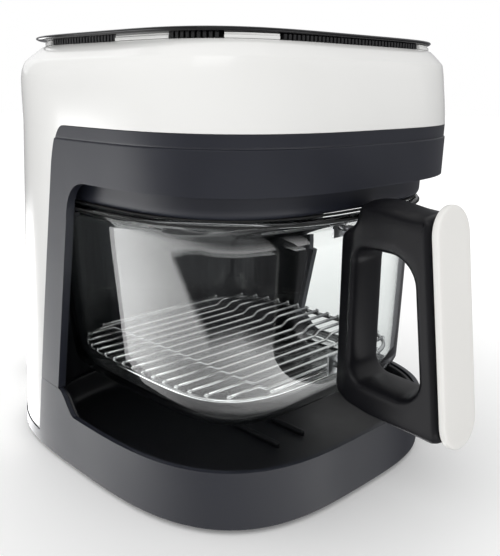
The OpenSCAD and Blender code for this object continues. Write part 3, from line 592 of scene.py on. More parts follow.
# ------------------------------------------------------------------ dark frame
def front_frame():
    NL, NF = 12, 60
    G = -.7
    legs, band = [], []
    zs = [SEAM + .3 + i*(189 - SEAM - .3)/18 for i in range(19)]
    for z in zs:
        legs.append((z, G, leg_out(z), leg_in(z)))
    for i in range(1, 17):
        t = 1 - i/17
        z = bez(BAND_LO, BAND_LO, 189, t)
        legs.append((z, G, leg_out(z), bez(-29, -7, leg_in(189), t)))
    bz = [(BAND_LO, G), (BAND_LO + 1.2, G), (219, G), (ZB - 24, G)]
    band = [(z, g, leg_out(z)) for z, g in bz]
    for t, g in ((.85, G), (.7, G), (.62, G)):
        y, z = leg_rear(t)
        band.append((z, g, y))
    for z, g in ((240.6, G), (241.2, G + .12), (241.45, G + .55), (241.6, .12), (242.0, .02), (243, 0), (245, 0), (247, 0), (248.4, 0), (249.2, 0), (249.5, 0), (249.65, .02)):
        t = math.sqrt((ZB - z)/24)
        y = bez(-6, 4, leg_out(ZB - 24), t)
        band.append((z, g, y))
    band.sort(key=lambda r: r[0])
    vs, fs = [], []
    nc = NL + 1
    for side in (1, -1):                           # legs, right then left
        b = len(vs)
        for z, g, y1, y0 in legs:
            p = body(z, g)
            h = p.run(p.s_at_y(y0), p.s_at_y(y1), NL)
            if side > 0:
                vs += [(x, y, z) for x, y in h]
            else:
                vs += [(-x, y, z) for x, y in reversed(h)]
        fs += rows_faces(len(legs), nc, base=b)
    b = len(vs)
    row_n = 2*(NL + NF) + 1
    for z, g, y1 in band:
        p = body(z, g)
        s0, s1 = p.s_at_y(-29), p.s_at_y(y1)
        h = p.run(s1, s0, NL) + p.run(s0, 0, NF)[1:]     # right rear edge to the front centre
        row = [(-x, y) for x, y in h] + [(x, y) for x, y in reversed(h[:-1])]
        vs += [(x, y, z) for x, y in row]
    fs += rows_faces(len(band), row_n, base=b)
    nlg = len(legs)
    # right leg top row to band bottom row: columns in the band run left rear -> front -> right rear
    ra = (nlg - 1)*nc
    rb = b + row_n - 1 - NL
    for c in range(NL):
        fs.append((ra + c, ra + c + 1, rb + c + 1, rb + c))
    la = nlg*nc + (nlg - 1)*nc
    for c in range(NL):
        fs.append((la + c, la + c + 1, b + c + 1, b + c))
    ob = obj("frame_band_and_legs", vs, fs, "frame_grey", "housing", replaces=("front_frame",))
    solidify(ob, 5.6)
    bevel(ob, .5, 3, 42)


def collar():
    lv = []
    def at(z, g, s): return body(z, g, s)
    lv.append((at(219, 0, .91), 219))
    lv.append((at(212, 0, .91), 212))
    lv.append((at(206, 0, .91), 206))
    lv.append((at(204, .05, .91), 203.6))
    lv.append((at(203, .35, .91), 201.9))
    lv.append((at(203, 1.0, .91), 200.6))
    lv.append((at(203, 2.0, .91), 199.8))
    lv.append((at(203, 3.3, .91), 199.5))
    lv.append((Plan(117, 112, 112, FAN_Y, 3), 199.5))
    lv.append((Plan(115.3, 110.3, 110.3, FAN_Y, 3), 200.3))
    lv.append((Plan(115, 110, 110, FAN_Y, 3), 202))
    lv.append((Plan(115, 110, 110, FAN_Y, 3), 219))
    loft("collar_lower_ring", lv, "frame_grey", "housing", closed_v=True, replaces=("collar_ring",))
    # inner return of the band so that no gap shows above the collar
    lv = [(body(218, 4.6), 216.2), (body(218, 4.6), 218.0), (body(218, 10, .93), 218.0), (body(218, 10, .93), 216.2)]
    loft("collar_upper_flange", lv, "frame_grey", "housing", closed_v=True)


# ------------------------------------------------------------------ top
def top():
    lv = [(Plan(112, 103, 105.5, -23, 4.2), 303.25), (Plan(118.3, 109.3, 111.8, -23, 4.2), 303.25), (Plan(120.2, 111.2, 113.7, -22.5, 4.2), 303.7),
          (Plan(121.2, 112.2, 114.7, -22, 4.2), 304.35), (Plan(121.5, 112.5, 115, -22, 4.2), 304.9), (Plan(121.35, 112.35, 114.85, -22, 4.2), 305.5),
          (Plan(120.8, 111.8, 114.3, -22, 4.2), 305.95), (Plan(120.0, 111.0, 113.5, -22, 4.2), 306.15), (Plan(118.8, 109.8, 112.3, -22, 4.2), 306.2),
          (Plan(112, 103, 105.5, -22, 4.2), 306.2)]
    loft("top_glass_panel", lv, "black_gloss", "housing", replaces=("top_panel",))
    # touch keys: thin rings with a plain mark, and a display window
    parts = []
    for i, x in enumerate((-44, -22, 0, 22, 44)):
        prof = [(5.2, 306.21), (5.2, 306.27), (5.9, 306.27), (5.9, 306.21), (5.2, 306.21)]
        seg = 48
        vs = [(x + r*math.cos(2*math.pi*j/seg), -66 + r*math.sin(2*math.pi*j/seg), z) for r, z in prof[:4] for j in range(seg)]
        fs = [(a*seg + j, a*seg + (j + 1) % seg, ((a + 1) % 4)*seg + (j + 1) % seg, ((a + 1) % 4)*seg + j) for a in range(4) for j in range(seg)]
        parts.append((vs, fs))
    marks = [((-46.2, -66.4, -41.8, -65.6),), ((-24.2, -66.4, -19.8, -65.6), (-22.4, -68.2, -21.6, -63.8)), ((-1.9, -68, -1.1, -64), (1.1, -68, 1.9, -64)),
             ((19.8, -67.6, 24.2, -66.9), (19.8, -65.1, 24.2, -64.4)), ((42.3, -67.7, 45.7, -64.3),)]
    for group in marks:
        for i, (x0, y0, x1, y1) in enumerate(group):
            dz = .004*i
            parts.append(box_part(x0, x1, y0, y1, 306.21, 306.265 + dz))
    v, f = gather(parts)
    obj("touch_key_marks", v, f, "marking_grey", "housing", slot="black_gloss", recalc=True, smooth_on=False)
    def rr(x0, x1, y0, y1, r):
        o = []
        for cx, cy, a0 in ((x1 - r, y1 - r, 0), (x0 + r, y1 - r, 90), (x0 + r, y0 + r, 180), (x1 - r, y0 + r, 270)):
            o += [(cx + r*math.cos(math.radians(a0 + a)), cy + r*math.sin(math.radians(a0 + a))) for a in range(0, 91, 15)]
        return o
    v, f = prism(rr(-31, 31, -51, -33, 3), 306.21, 306.26)
    obj("display_window", v, f, "display_glass", "housing", slot="black_gloss", smooth_on=False, recalc=True)
    # dark vent band below the panel with fins
    P1 = Plan(113.6, 105.6, 108, -25, 4.3)
    lv = [(P1, 292), (P1, 303.2), (Plan(108, 100, 102, -25, 4.3), 303.2), (Plan(108, 100, 102, -25, 4.3), 292)]
    loft("vent_band", lv, "black_plastic", "housing", closed_v=True, replaces=("vent_ring",))
    PO = Plan(116.2, 108.2, 110.7, -25, 4.3)
    def white(x, y):
        ax = abs(x)
        return (68 < ax < 100.5 and y < -90) or (ax > 100 and -90 < y < -40) or (ax > 100 and 39 < y < 55) or (39 < ax < 81 and y > 60)
    parts = []
    n = int(2*PO.L/3.4)
    ring = PO.ring(n - n % 2)
    m = len(ring)
    for i, (x, y) in enumerate(ring):
        if white(x, y):
            continue
        xa, ya = ring[(i - 1) % m]
        xb, yb = ring[(i + 1) % m]
        tx, ty = xb - xa, yb - ya
        l = math.hypot(tx, ty)
        tx, ty = tx/l, ty/l
        nx, ny = ty, -tx
        v = []
        for z in (300.1, 303.15):
            for a, b in ((-1.15, -2.8), (1.15, -2.8), (1.0, 0), (-1.0, 0)):
                v.append((x + tx*a + nx*b, y + ty*a + ny*b, z))
        parts.append((v, [(0, 1, 2, 3), (4, 7, 6, 5), (0, 4, 5, 1), (1, 5, 6, 2), (2, 6, 7, 3), (3, 7, 4, 0)]))
    v, f = gather(parts)
    obj("vent_fins", v, f, "black_plastic", "housing", smooth_on=False, recalc=True)
    # white spacer blocks
    PW = Plan(117.1, 109.1, 111.6, -25, 4.3)
    PI = Plan(114.0, 106.0, 108.4, -25, 4.3)
    def s_range(test):
        ss = [PW.L*i/1200 for i in range(1201) if test(*PW.at(PW.L*i/1200))]
        return ss[0], ss[-1]
    tests = [lambda x, y: 69 < x < 99.5 and y < -90, lambda x, y: x > 100 and -89 < y < -41,
             lambda x, y: x > 100 and 40 < y < 54, lambda x, y: 40 < x < 80 and y > 60]
    parts = []
    for tst in tests:
        a, b = s_range(tst)
        for side in (1, -1):
            n = 14
            v = []
            for i in range(n + 1):
                x, y = PW.at(lerp(a, b, i/n))
                xi, yi = PI.at(lerp(a, b, i/n)*PI.L/PW.L)
                # lower tier full depth, upper tier set back a little
                x2, y2 = lerp(x, xi, .22), lerp(y, yi, .22)
                v += [(side*x, y, 300.02), (side*x, y, 301.9), (side*x2, y2, 302.05), (side*x2, y2, 303.15), (side*xi, yi, 303.15), (side*xi, yi, 300.02)]
            f = [(6*i + j, 6*i + (j + 1) % 6, 6*(i + 1) + (j + 1) % 6, 6*(i + 1) + j) for i in range(n) for j in range(6)]
            f += [tuple(range(6))[::-1], tuple(6*n + j for j in range(6))]
            parts.append((v, f))
    v, f = gather(parts)
    ob = obj("panel_spacers", v, f, "white_shell", "housing", smooth_on=False, recalc=True, replaces=("panel_supports",))
    bevel(ob, .25, 2)


# ------------------------------------------------------------------ base
def rim_h(y):
    y1 = leg_in(SEAM) - .5
    if y <= 3:
        return APRON
    if y < y1:
        return lerp(APRON, SEAM, smooth((y - 3)/(y1 - 3)))
    yo = leg_out(SEAM)
    if y <= yo:
        return SEAM
    z = 196 - (y - 18)/.237
    return max(REAR_EDGE - .15, z)


def base_shell():
    ref = body(30, -.7)
    s = [0, ref.s_at_y(3), ref.s_at_y(leg_in(SEAM) - .5), ref.s_at_y(leg_out(SEAM)), ref.s_at_y(leg_out(REAR_EDGE)), ref.L]
    cols = []
    for a, b, n in ((s[0], s[1], 64), (s[1], s[2], 22), (s[2], s[3], 10), (s[3], s[4], 14), (s[4], s[5], 44)):
        cols += [lerp(a, b, i/n) for i in range(n)]
    cols.append(ref.L)
    fr = [c/ref.L for c in cols]
    half = []
    for f in fr:
        z = 40.0
        for _ in range(12):
            p = body(z, -.7)
            z = rim_h(p.at(f*p.L)[1])
        half.append((f, z))
    ROW = [0, .05, .15, .3, .5, .7, .85, .95, 1]
    vs = []
    full = half + [(-f, z) for f, z in reversed(half[1:-1])]
    cache = {}
    def bp(z):
        k = round(z, 3)
        if k not in cache:
            cache[k] = body(k, -.7)
        return cache[k]
    for r in ROW:
        for f, zt in full:
            z = lerp(3.6, zt, r)
            g = 0.0
            p = bp(z)
            x, y = p.at(abs(f)*p.L)
            vs.append((x if f >= 0 else -x, y, z))
    k = len(full)
    ob = obj("base_skirt", vs, rows_faces(len(ROW), k, closed_u=True), "frame_grey", "housing", replaces=("base_shell",))
    solidify(ob, 3.6)
    bevel(ob, .55, 3, 40)


def base_tray():
    # wall that follows the rim inside the skirt, a rounded foot and the tray floor, closed underneath
    K = 224
    def pl(z, g): return body(z, g, 1, 97.5 - (g - 3.2))
    def ring(g, zf, n=K):
        out = []
        ref = pl(30, g)
        h = []
        for i in range(n//2 + 1):
            f = i/(n//2)
            z = zf(ref.at(f*ref.L)[1])
            p = ref
            x, y = p.at(f*p.L)
            dy = by(z) - by(30)
            h.append((x, y + (dy if y < 30 else 0), z))
        return h + [(-x, y, z) for x, y, z in reversed(h[1:-1])]
    def top_z(y):
        if y <= 3: return APRON - 1.6
        return lerp(APRON - 1.6, SEAM - 2.2, smooth((y - 3)/19.4)) if y < 40 else max(33.0, SEAM - 2.2 - (y - 40)*1.2)
    secs = [ring(3.15, lambda y: 9.0), ring(3.15, top_z), ring(4.3, lambda y: top_z(y) + .25), ring(5.2, lambda y: top_z(y) - .5), ring(5.6, lambda y: top_z(y) - 2),
            ring(6.0, lambda y: 22), ring(6.4, lambda y: 17.5), ring(7.6, lambda y: 14.4), ring(9.6, lambda y: 12.6), ring(12.5, lambda y: 12.0), ring(30, lambda y: 12.0)]
    vs = []
    for s in secs:
        vs += s
    n = len(secs)
    fs = rows_faces(n, K, closed_u=True)
    fs.append(tuple(range(K))[::-1])
    fs.append(tuple((n - 1)*K + i for i in range(K)))
    # ribs
    v, f = vs, fs
    ob = obj("tray_recess", v, f, "tray_dark", "housing", slot="black_plastic", recalc=True, replaces=("base_tray",))
    parts = []
    for x in (-14, 14):
        for (w, z0, z1, pt) in ((1.75, 11.8, 15.2, 0), (1.3, 15.2, 15.9, 1), (.6, 15.9, 16.15, 2)):
            pass
        outline = lambda w: [(x + w*math.cos(math.radians(a)), 66 + w*math.sin(math.radians(a))) for a in range(0, 181, 15)] + \
                            [(x + w*math.cos(math.radians(a)), -84 + w*math.sin(math.radians(a))) for a in range(180, 361, 15)]
        rings = [(1.75, 11.8), (1.75, 14.6), (1.55, 15.4), (1.1, 15.9), (.5, 16.1)]
        vv, n = [], 0
        for w, z in rings:
            o = outline(w)
            n = len(o)
            vv += [(a, b, z) for a, b in o]
        ff = rows_faces(len(rings), n, closed_u=True) + [tuple(range(n))[::-1], tuple((len(rings) - 1)*n + i for i in range(n))]
        parts.append((vv, ff))
    v, f = gather(parts)
    obj("tray_ribs", v, f, "tray_dark", "housing", slot="black_plastic", recalc=True)


def liner():
    P = Plan(128, 95, 111, -10, 3.3)
    zs = [33.2 + i*(198.6 - 33.2)/20 for i in range(21)]
    N = 60
    vs = []
    for z in zs:
        h = P.run(P.s_at_y(leg_in(z) + 3), P.L, N)
        row = h + [(-x, y) for x, y in reversed(h[:-1])]
        vs += [(x, y, z) for x, y in row]
    ob = obj("bay_liner", vs, rows_faces(len(zs), 2*N + 1), "coated_steel", "housing", replaces=("cavity_liner",))
    solidify(ob, 1.2)
    bevel(ob, .3, 2)


# ------------------------------------------------------------------ bowl
def wall_plan(t, g=0.0):
    return Plan(lerp(105, 119, t) - g, lerp(105, 110, t) - g, lerp(105, 112, t) - g, lerp(-23, -20, t), lerp(4.7, 3.8, t))


def glass():
    lv = []
    sq = lambda a, n=4.2: Plan(a, a, a, -23, n)
    lv += [(sq(20), 61.6), (sq(60), 61.5), (sq(78), 61.2), (sq(84), 60.6), (sq(88), 60.5), (sq(92.4, 4.3), 60.75), (sq(96.6, 4.45), 61.7), (sq(99.8, 4.55), 63.2),
           (sq(102.2, 4.65), 65.2), (sq(103.9, 4.7), 67.6), (wall_plan(.005), 70.4)]
    for t in (.06, .16, .28, .42, .56, .7, .82, .92, 1):
        lv.append((wall_plan(t), lerp(69, 186, t)))
    lv += [(Plan(119.5, 111.6, 112.1, -20.9, 3.7), 188.6), (Plan(120.8, 114.2, 112.6, -22.4, 3.45), 190.8), (Plan(122.6, 117.2, 113.8, -23.8, 3.1), 192.6),
           (Plan(124.6, 120.2, 115.6, -24.7, 2.8), 193.8), (Plan(125.7, 121.6, 116.7, -25, 2.67), 194.9), (Plan(126, 122, 117, -25, 2.65), 196.2),
           (Plan(125.7, 121.7, 116.7, -25, 2.65), 197.3), (Plan(125.0, 121.0, 116.0, -25, 2.66), 197.85), (Plan(124.0, 120.0, 115.0, -25, 2.7), 198),
           (Plan(121.5, 117.5, 112.5, -25, 2.78), 197.9), (Plan(119.6, 115.6, 110.6, -25, 2.88), 197.2), (Plan(118.3, 114.0, 109.4, -24.6, 3.0), 195.8),
           (Plan(116.9, 111.4, 108.6, -23.4, 3.3), 192.6), (Plan(115.7, 108.6, 108.2, -21.8, 3.6), 189.2), (wall_plan(1, 4), 185.4)]
    for t in (.9, .78, .64, .5, .36, .22, .1):
        lv.append((wall_plan(t, 4), lerp(69, 186, t)))
    lv += [(wall_plan(0, 4), 73.4), (sq(99.8, 4.7), 70.2), (sq(98.0, 4.6), 67.6), (sq(94.8, 4.5), 65.8), (sq(90, 4.3), 64.9), (sq(84, 4.2), 64.6), (sq(60), 64.9), (sq(20), 65.1)]
    loft("glass_bowl_clear", lv, "clear_glass", "bowl", k=208, replaces=("glass_bowl",))
    r = [(Plan(126.05, 122.05, 117.05, -25, 2.65), 194.9), (Plan(126.6, 122.6, 117.6, -25, 2.65), 195.1), (Plan(126.6, 122.6, 117.6, -25, 2.65), 196.0), (Plan(126.05, 122.05, 117.05, -25, 2.65), 196.2)]
    loft("rim_seal_line", r, "black_rubber", "bowl", closed_v=True, k=208, replaces=("rim_seal",))


HZ0, HZ1 = 62.0, 209.0
def grip_front(z): return lerp(-226, -207, (z - HZ0)/(HZ1 - HZ0))


def rounded(pts, n=7):
    """pts: (y, z, radius). Returns the outline with its corners rounded."""
    out = []
    m = len(pts)
    for i in range(m):
        p = Vector(pts[i][:2])
        a = Vector(pts[(i - 1) % m][:2])
        b = Vector(pts[(i + 1) % m][:2])
        r = pts[i][2]
        u, w = (a - p), (b - p)
        lu, lw = u.length, w.length
        u.normalize()
        w.normalize()
        ang = math.acos(clamp(u.dot(w), -1, 1))
        if r <= 0 or ang > 3.10:
            out.append(tuple(p))
            continue
        d = min(r/math.tan(ang/2), lu*.48, lw*.48)
        r = d*math.tan(ang/2)
        c = p + (u + w).normalized()*(r/math.sin(ang/2))
        s, e = p + u*d, p + w*d
        for j in range(n + 1):
            q = s.lerp(e, j/n) - c
            q = c + q.normalized()*r
            out.append(tuple(q))
    return out


def polar(loop, c, k):
    """Where k rays from c meet the loop."""
    out = []
    n = len(loop)
    for j in range(k):
        q = 2*math.pi*j/k
        dy, dz = math.cos(q), math.sin(q)
        best = None
        for i in range(n):
            (y0, z0), (y1, z1) = loop[i], loop[(i + 1) % n]
            ey, ez = y1 - y0, z1 - z0
            det = dy*(-ez) + ey*dz
            if abs(det) < 1e-12:
                continue
            ry, rz = y0 - c[0], z0 - c[1]
            t = (ry*(-ez) + ey*rz)/det
            u = (dy*rz - dz*ry)/det
            if -1e-9 <= u <= 1 + 1e-9 and t > 0 and (best is None or t > best):
                best = t
        out.append((c[0] + dy*best, c[1] + dz*best))
    return out


def offset(loop, d):
    n = len(loop)
    out = []
    for i in range(n):
        ya, za = loop[(i - 1) % n]
        yb, zb_ = loop[(i + 1) % n]
        ty, tz = yb - ya, zb_ - za
        l = math.hypot(ty, tz) or 1
        out.append((loop[i][0] + (-tz/l)*d, loop[i][1] + (ty/l)*d))
    return out


def handle():
    g1, g0 = grip_front(HZ1 - 8) + 5, grip_front(HZ0 + 2) + 5
    outer = [(-131.8, 72, 9), (-131.8, 184, 8), (-147.3, 193.5, 8), (-149.5, 207.2, 8), (-165, 207.4, 26), (-183, 204.4, 40), (-193, 203.6, 20), (g1, 204.6, 9),
             (g0, 62.4, 9), (-203, 63.6, 18), (-165, 65.6, 30)]
    go0, go1 = grip_front(88) + 20.3, grip_front(176) + 20.3
    inner = [(-150.3, 89.5, 10), (go0, 87.0, 13), (go1, 175.4, 19), (-150.3, 176.4, 9)]
    c = (-176.0, 132.0)
    K = 176
    O = polar(rounded(outer), c, K)
    I = polar(rounded(inner), c, K)
    D, W, E = 5.6, 17.0, 2.5
    def root(y): return lerp(1.0, .64, smooth((y + 150.5)/18.0))
    xs = [0, .35, .58, .72, .82, .9, .955, .985, 1.0]
    lay = [(-x*W, D*(1 - max(0.0, 1 - x**E)**(1/E))) for x in reversed(xs)] + [(x*W, D*(1 - max(0.0, 1 - x**E)**(1/E))) for x in xs[1:]]
    vs = []
    for x, d in lay:
        o = offset(O, d)                       # loop runs counter-clockwise in (y, z): left normal points inward
        i_ = offset(I, -d*.85)
        vs += [(x*root(y), y, z) for y, z in o]
        vs += [(x*root(y), y, z) for y, z in i_]
    fs = []
    n = len(lay)
    st = 2*K
    for l in range(n - 1):
        for j in range(K):
            j2 = (j + 1) % K
            a, b = l*st, (l + 1)*st
            fs.append((a + j, a + j2, b + j2, b + j))
            fs.append((a + K + j, b + K + j, b + K + j2, a + K + j2))
    # sides: three strips between the outer and inner outline
    for l, flip in ((0, False), (n - 1, True)):
        rows = [[l*st + j for j in range(K)]]
        x = lay[l][0]*.999
        for t in (.25, .5, .75):
            b = len(vs)
            for j in range(K):
                p, q = vs[l*st + j], vs[l*st + K + j]
                yy = lerp(p[1], q[1], t)
                vs.append((x*root(yy), yy, lerp(p[2], q[2], t)))
            rows.append([b + j for j in range(K)])
        rows.append([l*st + K + j for j in range(K)])
        for r in range(len(rows) - 1):
            for j in range(K):
                j2 = (j + 1) % K
                fs.append((rows[r][j], rows[r + 1][j], rows[r + 1][j2], rows[r][j2]))
    obj("handle_grip_body", vs, fs, "handle_black", "bowl", recalc=True, replaces=("handle_body",))
    # pale strip on the front of the grip
    th = math.atan(19/147)
    Ld = Vector((0, math.sin(th), math.cos(th)))
    Nd = Vector((0, -math.cos(th), math.sin(th)))
    mid = (HZ0 + HZ1)/2
    C = Vector((0, grip_front(mid), mid))
    w, l = 36.0, 150.0
    def stad(i):
        r = w/2 - i
        o = [(r*math.cos(math.radians(a)), l/2 - w/2 + r*math.sin(math.radians(a))) for a in range(0, 181, 6)]
        o += [(r*math.cos(math.radians(a)), w/2 - l/2 + r*math.sin(math.radians(a))) for a in range(180, 361, 6)]
        return o
    prof = [(12, 4.75), (1.2, 4.75), (.5, 4.6), (.12, 4.2), (0, 3.6), (0, 1.5), (.15, .9), (.55, .4), (1.2, .12), (2.2, 0), (6, -.0), (12, 0)]
    vs, n = [], 0
    for i, d in prof:
        o = stad(i)
        n = len(o)
        for u, v in o:
            vs.append(tuple(C + Vector((u, 0, 0)) + Ld*v - Nd*d))
    fs = rows_faces(len(prof), n, closed_u=True) + [tuple(range(n))[::-1], tuple((len(prof) - 1)*n + i for i in range(n))]
    obj("handle_grip_strip", vs, fs, "grip_white", "bowl", recalc=True, replaces=("handle_cover",))


# ------------------------------------------------------------------ rack
RKZ = BZ0 + 17
def rack():
    P = Plan(98, 96.0, 97, -23, 4.4)
    path = [(x, y, RKZ + 1.5) for x, y in P.ring(160)]
    v, f = sweep(path, 1.6, 10, closed=True)
    obj("rack_ring_wire", v, f, "bright_steel", "rack", recalc=True, replaces=("rack_frame",))
    parts, balls = [], []
    for i in range(17):
        y = -117 + i*11.75
        b = 96.2 if y < -23 else 97
        x = 98*max(0, 1 - abs((y + 23)/b)**4.4)**(1/4.4) - .5
        z1 = RKZ + 3 + 1.3
        z0 = z1 - 4
        m = min(x - 14, 50)
        if i in (0, 16):
            path = [(-x, y, z1), (0, y, z1), (x, y, z1)]
        else:
            h = [(m + 12, z1), (m + 9.2, z1 - .12), (m + 7.6, z1 - .6), (m + 5.6, z1 - 1.7), (m + 3.6, z0 + 1.0), (m + 1.8, z0 + .25), (m, z0)]
            h = [(q, z) for q, z in h if q < x - .6]
            path = [(-x, y, z1)] + [(-q, y, z) for q, z in h] + [(q, y, z) for q, z in reversed(h)] + [(x, y, z1)]
        parts.append(sweep(path, 1.3, 10))
        for s in (-1, 1):
            balls.append(ball((s*(x - .2), y, z1), 1.75))
    v, f = gather(parts + balls)
    obj("rack_cross_rods", v, f, "bright_steel", "rack", recalc=True, replaces=("rack_rods",))


# ------------------------------------------------------------------ mains lead
def lead():
    R, hx, cx, cy = 19.0, 48.0, 7.54, 202.31
    path = []
    for i in range(10):
        path.append((50, lerp(134, 166, i/9), 41))
    a, b, c_, d = Vector((50, 166, 41)), Vector((50, 205, 41)), Vector((63.5, 218.3, 4.4)), Vector((37.54, 221.31, 4.4))
    for i in range(1, 17):
        t = i/16
        path.append(tuple(a*(1 - t)**3 + b*3*t*(1 - t)**2 + c_*3*t*t*(1 - t) + d*t**3))
    # three stacked turns, rear side towards -X, front side towards +X
    def track(u):
        per = 4*hx + 2*math.pi*R
        s = (u % 1.0)*per
        if s < 2*hx:
            return (cx + hx - s, cy + R)
        s -= 2*hx
        if s < math.pi*R:
            q = math.pi/2 + s/R
            return (cx - hx + R*math.cos(q), cy + R*math.sin(q))
        s -= math.pi*R
        if s < 2*hx:
            return (cx - hx + s, cy - R)
        s -= 2*hx
        q = -math.pi/2 + s/R
        return (cx + hx + R*math.cos(q), cy + R*math.sin(q))
    per = 4*hx + 2*math.pi*R
    u0 = 18/per
    u1 = 3 - (math.pi*R + 8)/per
    n = 190
    for i in range(1, n + 1):
        u = lerp(u0, u1, i/n)
        x, y = track(u)
        lvl = clamp(u, 0, 2.6)
        z = 4.4 + 7.0*(math.floor(lvl) + smooth(((lvl % 1.0) - .72)/.26)) if lvl < 2.6 else 18.4
        path.append((x, y, min(z, 18.4)))
    x, y, z = path[-1]
    a, b, c_, d = Vector((x, y, z)), Vector((x + 16, y, z)), Vector((69.54, 202.31, 19.6)), Vector((85.54, 202.31, 19.6))
    for i in range(1, 15):
        t = i/14
        path.append(tuple(a*(1 - t)**3 + b*3*t*(1 - t)**2 + c_*3*t*t*(1 - t) + d*t**3))
    v, f = sweep(path, 3.3, 12)
    obj("mains_lead", v, f, "black_rubber", "housing", recalc=True, replaces=("power_cord",))
    prof = [(4, 132), (9.6, 132.0), (10, 132.4), (10, 136.6), (9.6, 137), (8.4, 137.2), (8.3, 148)]
    z = 148.0
    r = 8.4
    for i in range(6):
        prof += [(r, z + .3), (r, z + 1.9), (r - 1.3, z + 2.1), (r - 1.3, z + 2.6)]
        z += 2.65
        r -= .5
    prof += [(5.0, 164.0), (4.6, 164.4), (3.0, 164.4)]
    v, f = lathe(prof, (50, 0, 41), (0, 1, 0), 56)
    obj("lead_gland", v, f, "black_rubber", "housing", recalc=True, replaces=("cord_gland",))
    prof = [(3, 86), (5.2, 86.0), (5.6, 86.6), (5.6, 88), (6.6, 88.3), (6.6, 89.5), (8.6, 90.2), (13.4, 93.4), (16.6, 97.4), (17.6, 99), (17.0, 99.6), (17.0, 100.6), (17.9, 101.2), (17.3, 102), (17.3, 103), (18.2, 103.6),
            (17.6, 104.4), (17.6, 105.4), (18.6, 106), (18.9, 107), (19, 117.6), (18.7, 118.5), (18, 118.98), (12, 118.98)]
    v, f = lathe([(r_, h_ - 2.46) for r_, h_ in prof], (0, 202.31, 19.6), (1, 0, 0), 64)
    obj("plug_body", v, f, "black_rubber", "housing", recalc=True, replaces=("power_plug",))
    # strap round the hank
    o = []
    y0, y1, z0, z1, r = 178.51, 226.11, .3, 22.7, 5.0
    for cy_, cz_, a0 in ((y1 - r, z1 - r, 0), (y0 + r, z1 - r, 90), (y0 + r, z0 + r, 180), (y1 - r, z0 + r, 270)):
        o += [(cy_ + r*math.cos(math.radians(a0 + q)), cz_ + r*math.sin(math.radians(a0 + q))) for q in range(0, 91, 15)]
    n = len(o)
    vs = []
    cyy, czz = (y0 + y1)/2, (z0 + z1)/2
    for x, s in ((-1.26, 1), (6.34, 1), (6.34, .955), (-1.26, .955)):
        vs += [(x, cyy + (y - cyy)*(s + (0 if s == 1 else .012)), czz + (z - czz)*s) for y, z in o]
    fs = rows_faces(4, n, closed_u=True, closed_v=True)
    v2, f2 = box_part(0.6, 9.4, 210.2, 214.0, 8, 15)
    ob = obj("lead_strap", vs, fs, "black_rubber", "housing", recalc=True, replaces=("cord_tie",))
    bevel(ob, .25, 2)


outer_shell()
rear_parts()
front_frame()
collar()
top()
base_shell()
base_tray()
liner()
glass()
handle()
rack()
lead()

# ------------------------------------------------------------------ carried-over CAD nodes
slots = {s["node"]: s["material_slot"] for s in frame["record"]["subparts"]}
extra = {"display_module": "display_glass"}
for name, o in frame["nodes"].items():
    mat = M[extra.get(name, slots.get(name, "black_plastic"))]
    if not o.data.materials:
        o.data.materials.append(mat)
    for s in o.material_slots:
        s.material = mat
    if not o.hide_render and name not in ("heater_guard", "heater_chamber"):
        w = o.modifiers.new("weld", "WELD")
        w.merge_threshold = 2e-6
        b = o.modifiers.new("edge", "BEVEL")
        b.width = .00022
        b.segments = 2
        b.limit_method = "ANGLE"
        b.angle_limit = math.radians(40)
        b.harden_normals = True
        b.use_clamp_overlap = True

# ------------------------------------------------------------------ stage, light and camera
def stage_plane(name, size, z, mat):
    me = bpy.data.meshes.new(name)
    me.from_pydata([(-size, -size, z), (size, -size, z), (size, size, z), (-size, size, z)], [], [(0, 1, 2, 3)])
    me.materials.append(mat)
    o = bpy.data.objects.new(name, me)
    scene.collection.objects.link(o)
    return o


def math_node(nt, op, a, b=None):
    n = nt.nodes.new("ShaderNodeMath")
    n.operation = op
    for i, v in enumerate((a, b)):
        if v is None:
            continue
        if hasattr(v, "node"):
            nt.links.new(v, n.inputs[i])
        else:
            n.inputs[i].default_value = v
    return n.outputs[0]


def mirrored(nt):
    """1 for a path that has been reflected and has not met a matt surface."""
    lp = nt.nodes.new("ShaderNodeLightPath")
    return math_node(nt, "MULTIPLY", math_node(nt, "GREATER_THAN", lp.outputs["Glossy Depth"], .5),
                     math_node(nt, "LESS_THAN", lp.outputs["Diffuse Depth"], .5))


def soft_step(nt, v, a, b):
    n = nt.nodes.new("ShaderNodeMapRange")
    n.interpolation_type = "SMOOTHSTEP"
    n.inputs[1].default_value, n.inputs[2].default_value = a, b
    nt.links.new(v, n.inputs[0])
    return n.outputs[0]


fm, nt, bs, out = new_mat("floor_pale")
nt.links.new(mixcol(nt, noise(nt, coords(nt), 6, 3), (.93, .93, .93), (.945, .945, .94)), bs.inputs["Base Color"])
bs.inputs["Roughness"].default_value = .9
bs.inputs["Specular IOR Level"].default_value = .1
dist = nt.nodes.new("ShaderNodeVectorMath")
dist.operation = "LENGTH"
nt.links.new(coords(nt), dist.inputs[0])
bs.inputs["Emission Color"].default_value = (1, 1, 1, 1)
nt.links.new(maprange(nt, dist.outputs[1], .28, .70, .06, .24), bs.inputs["Emission Strength"])
tr = nt.nodes.new("ShaderNodeBsdfTransparent")
mixf = nt.nodes.new("ShaderNodeMixShader")
nt.links.new(mirrored(nt), mixf.inputs[0])
nt.links.new(bs.outputs[0], mixf.inputs[1])
nt.links.new(tr.outputs[0], mixf.inputs[2])
nt.links.new(mixf.outputs[0], out.inputs[0])
floor = stage_plane("floor", 6.0, -.0004, fm)
floor.visible_glossy = False

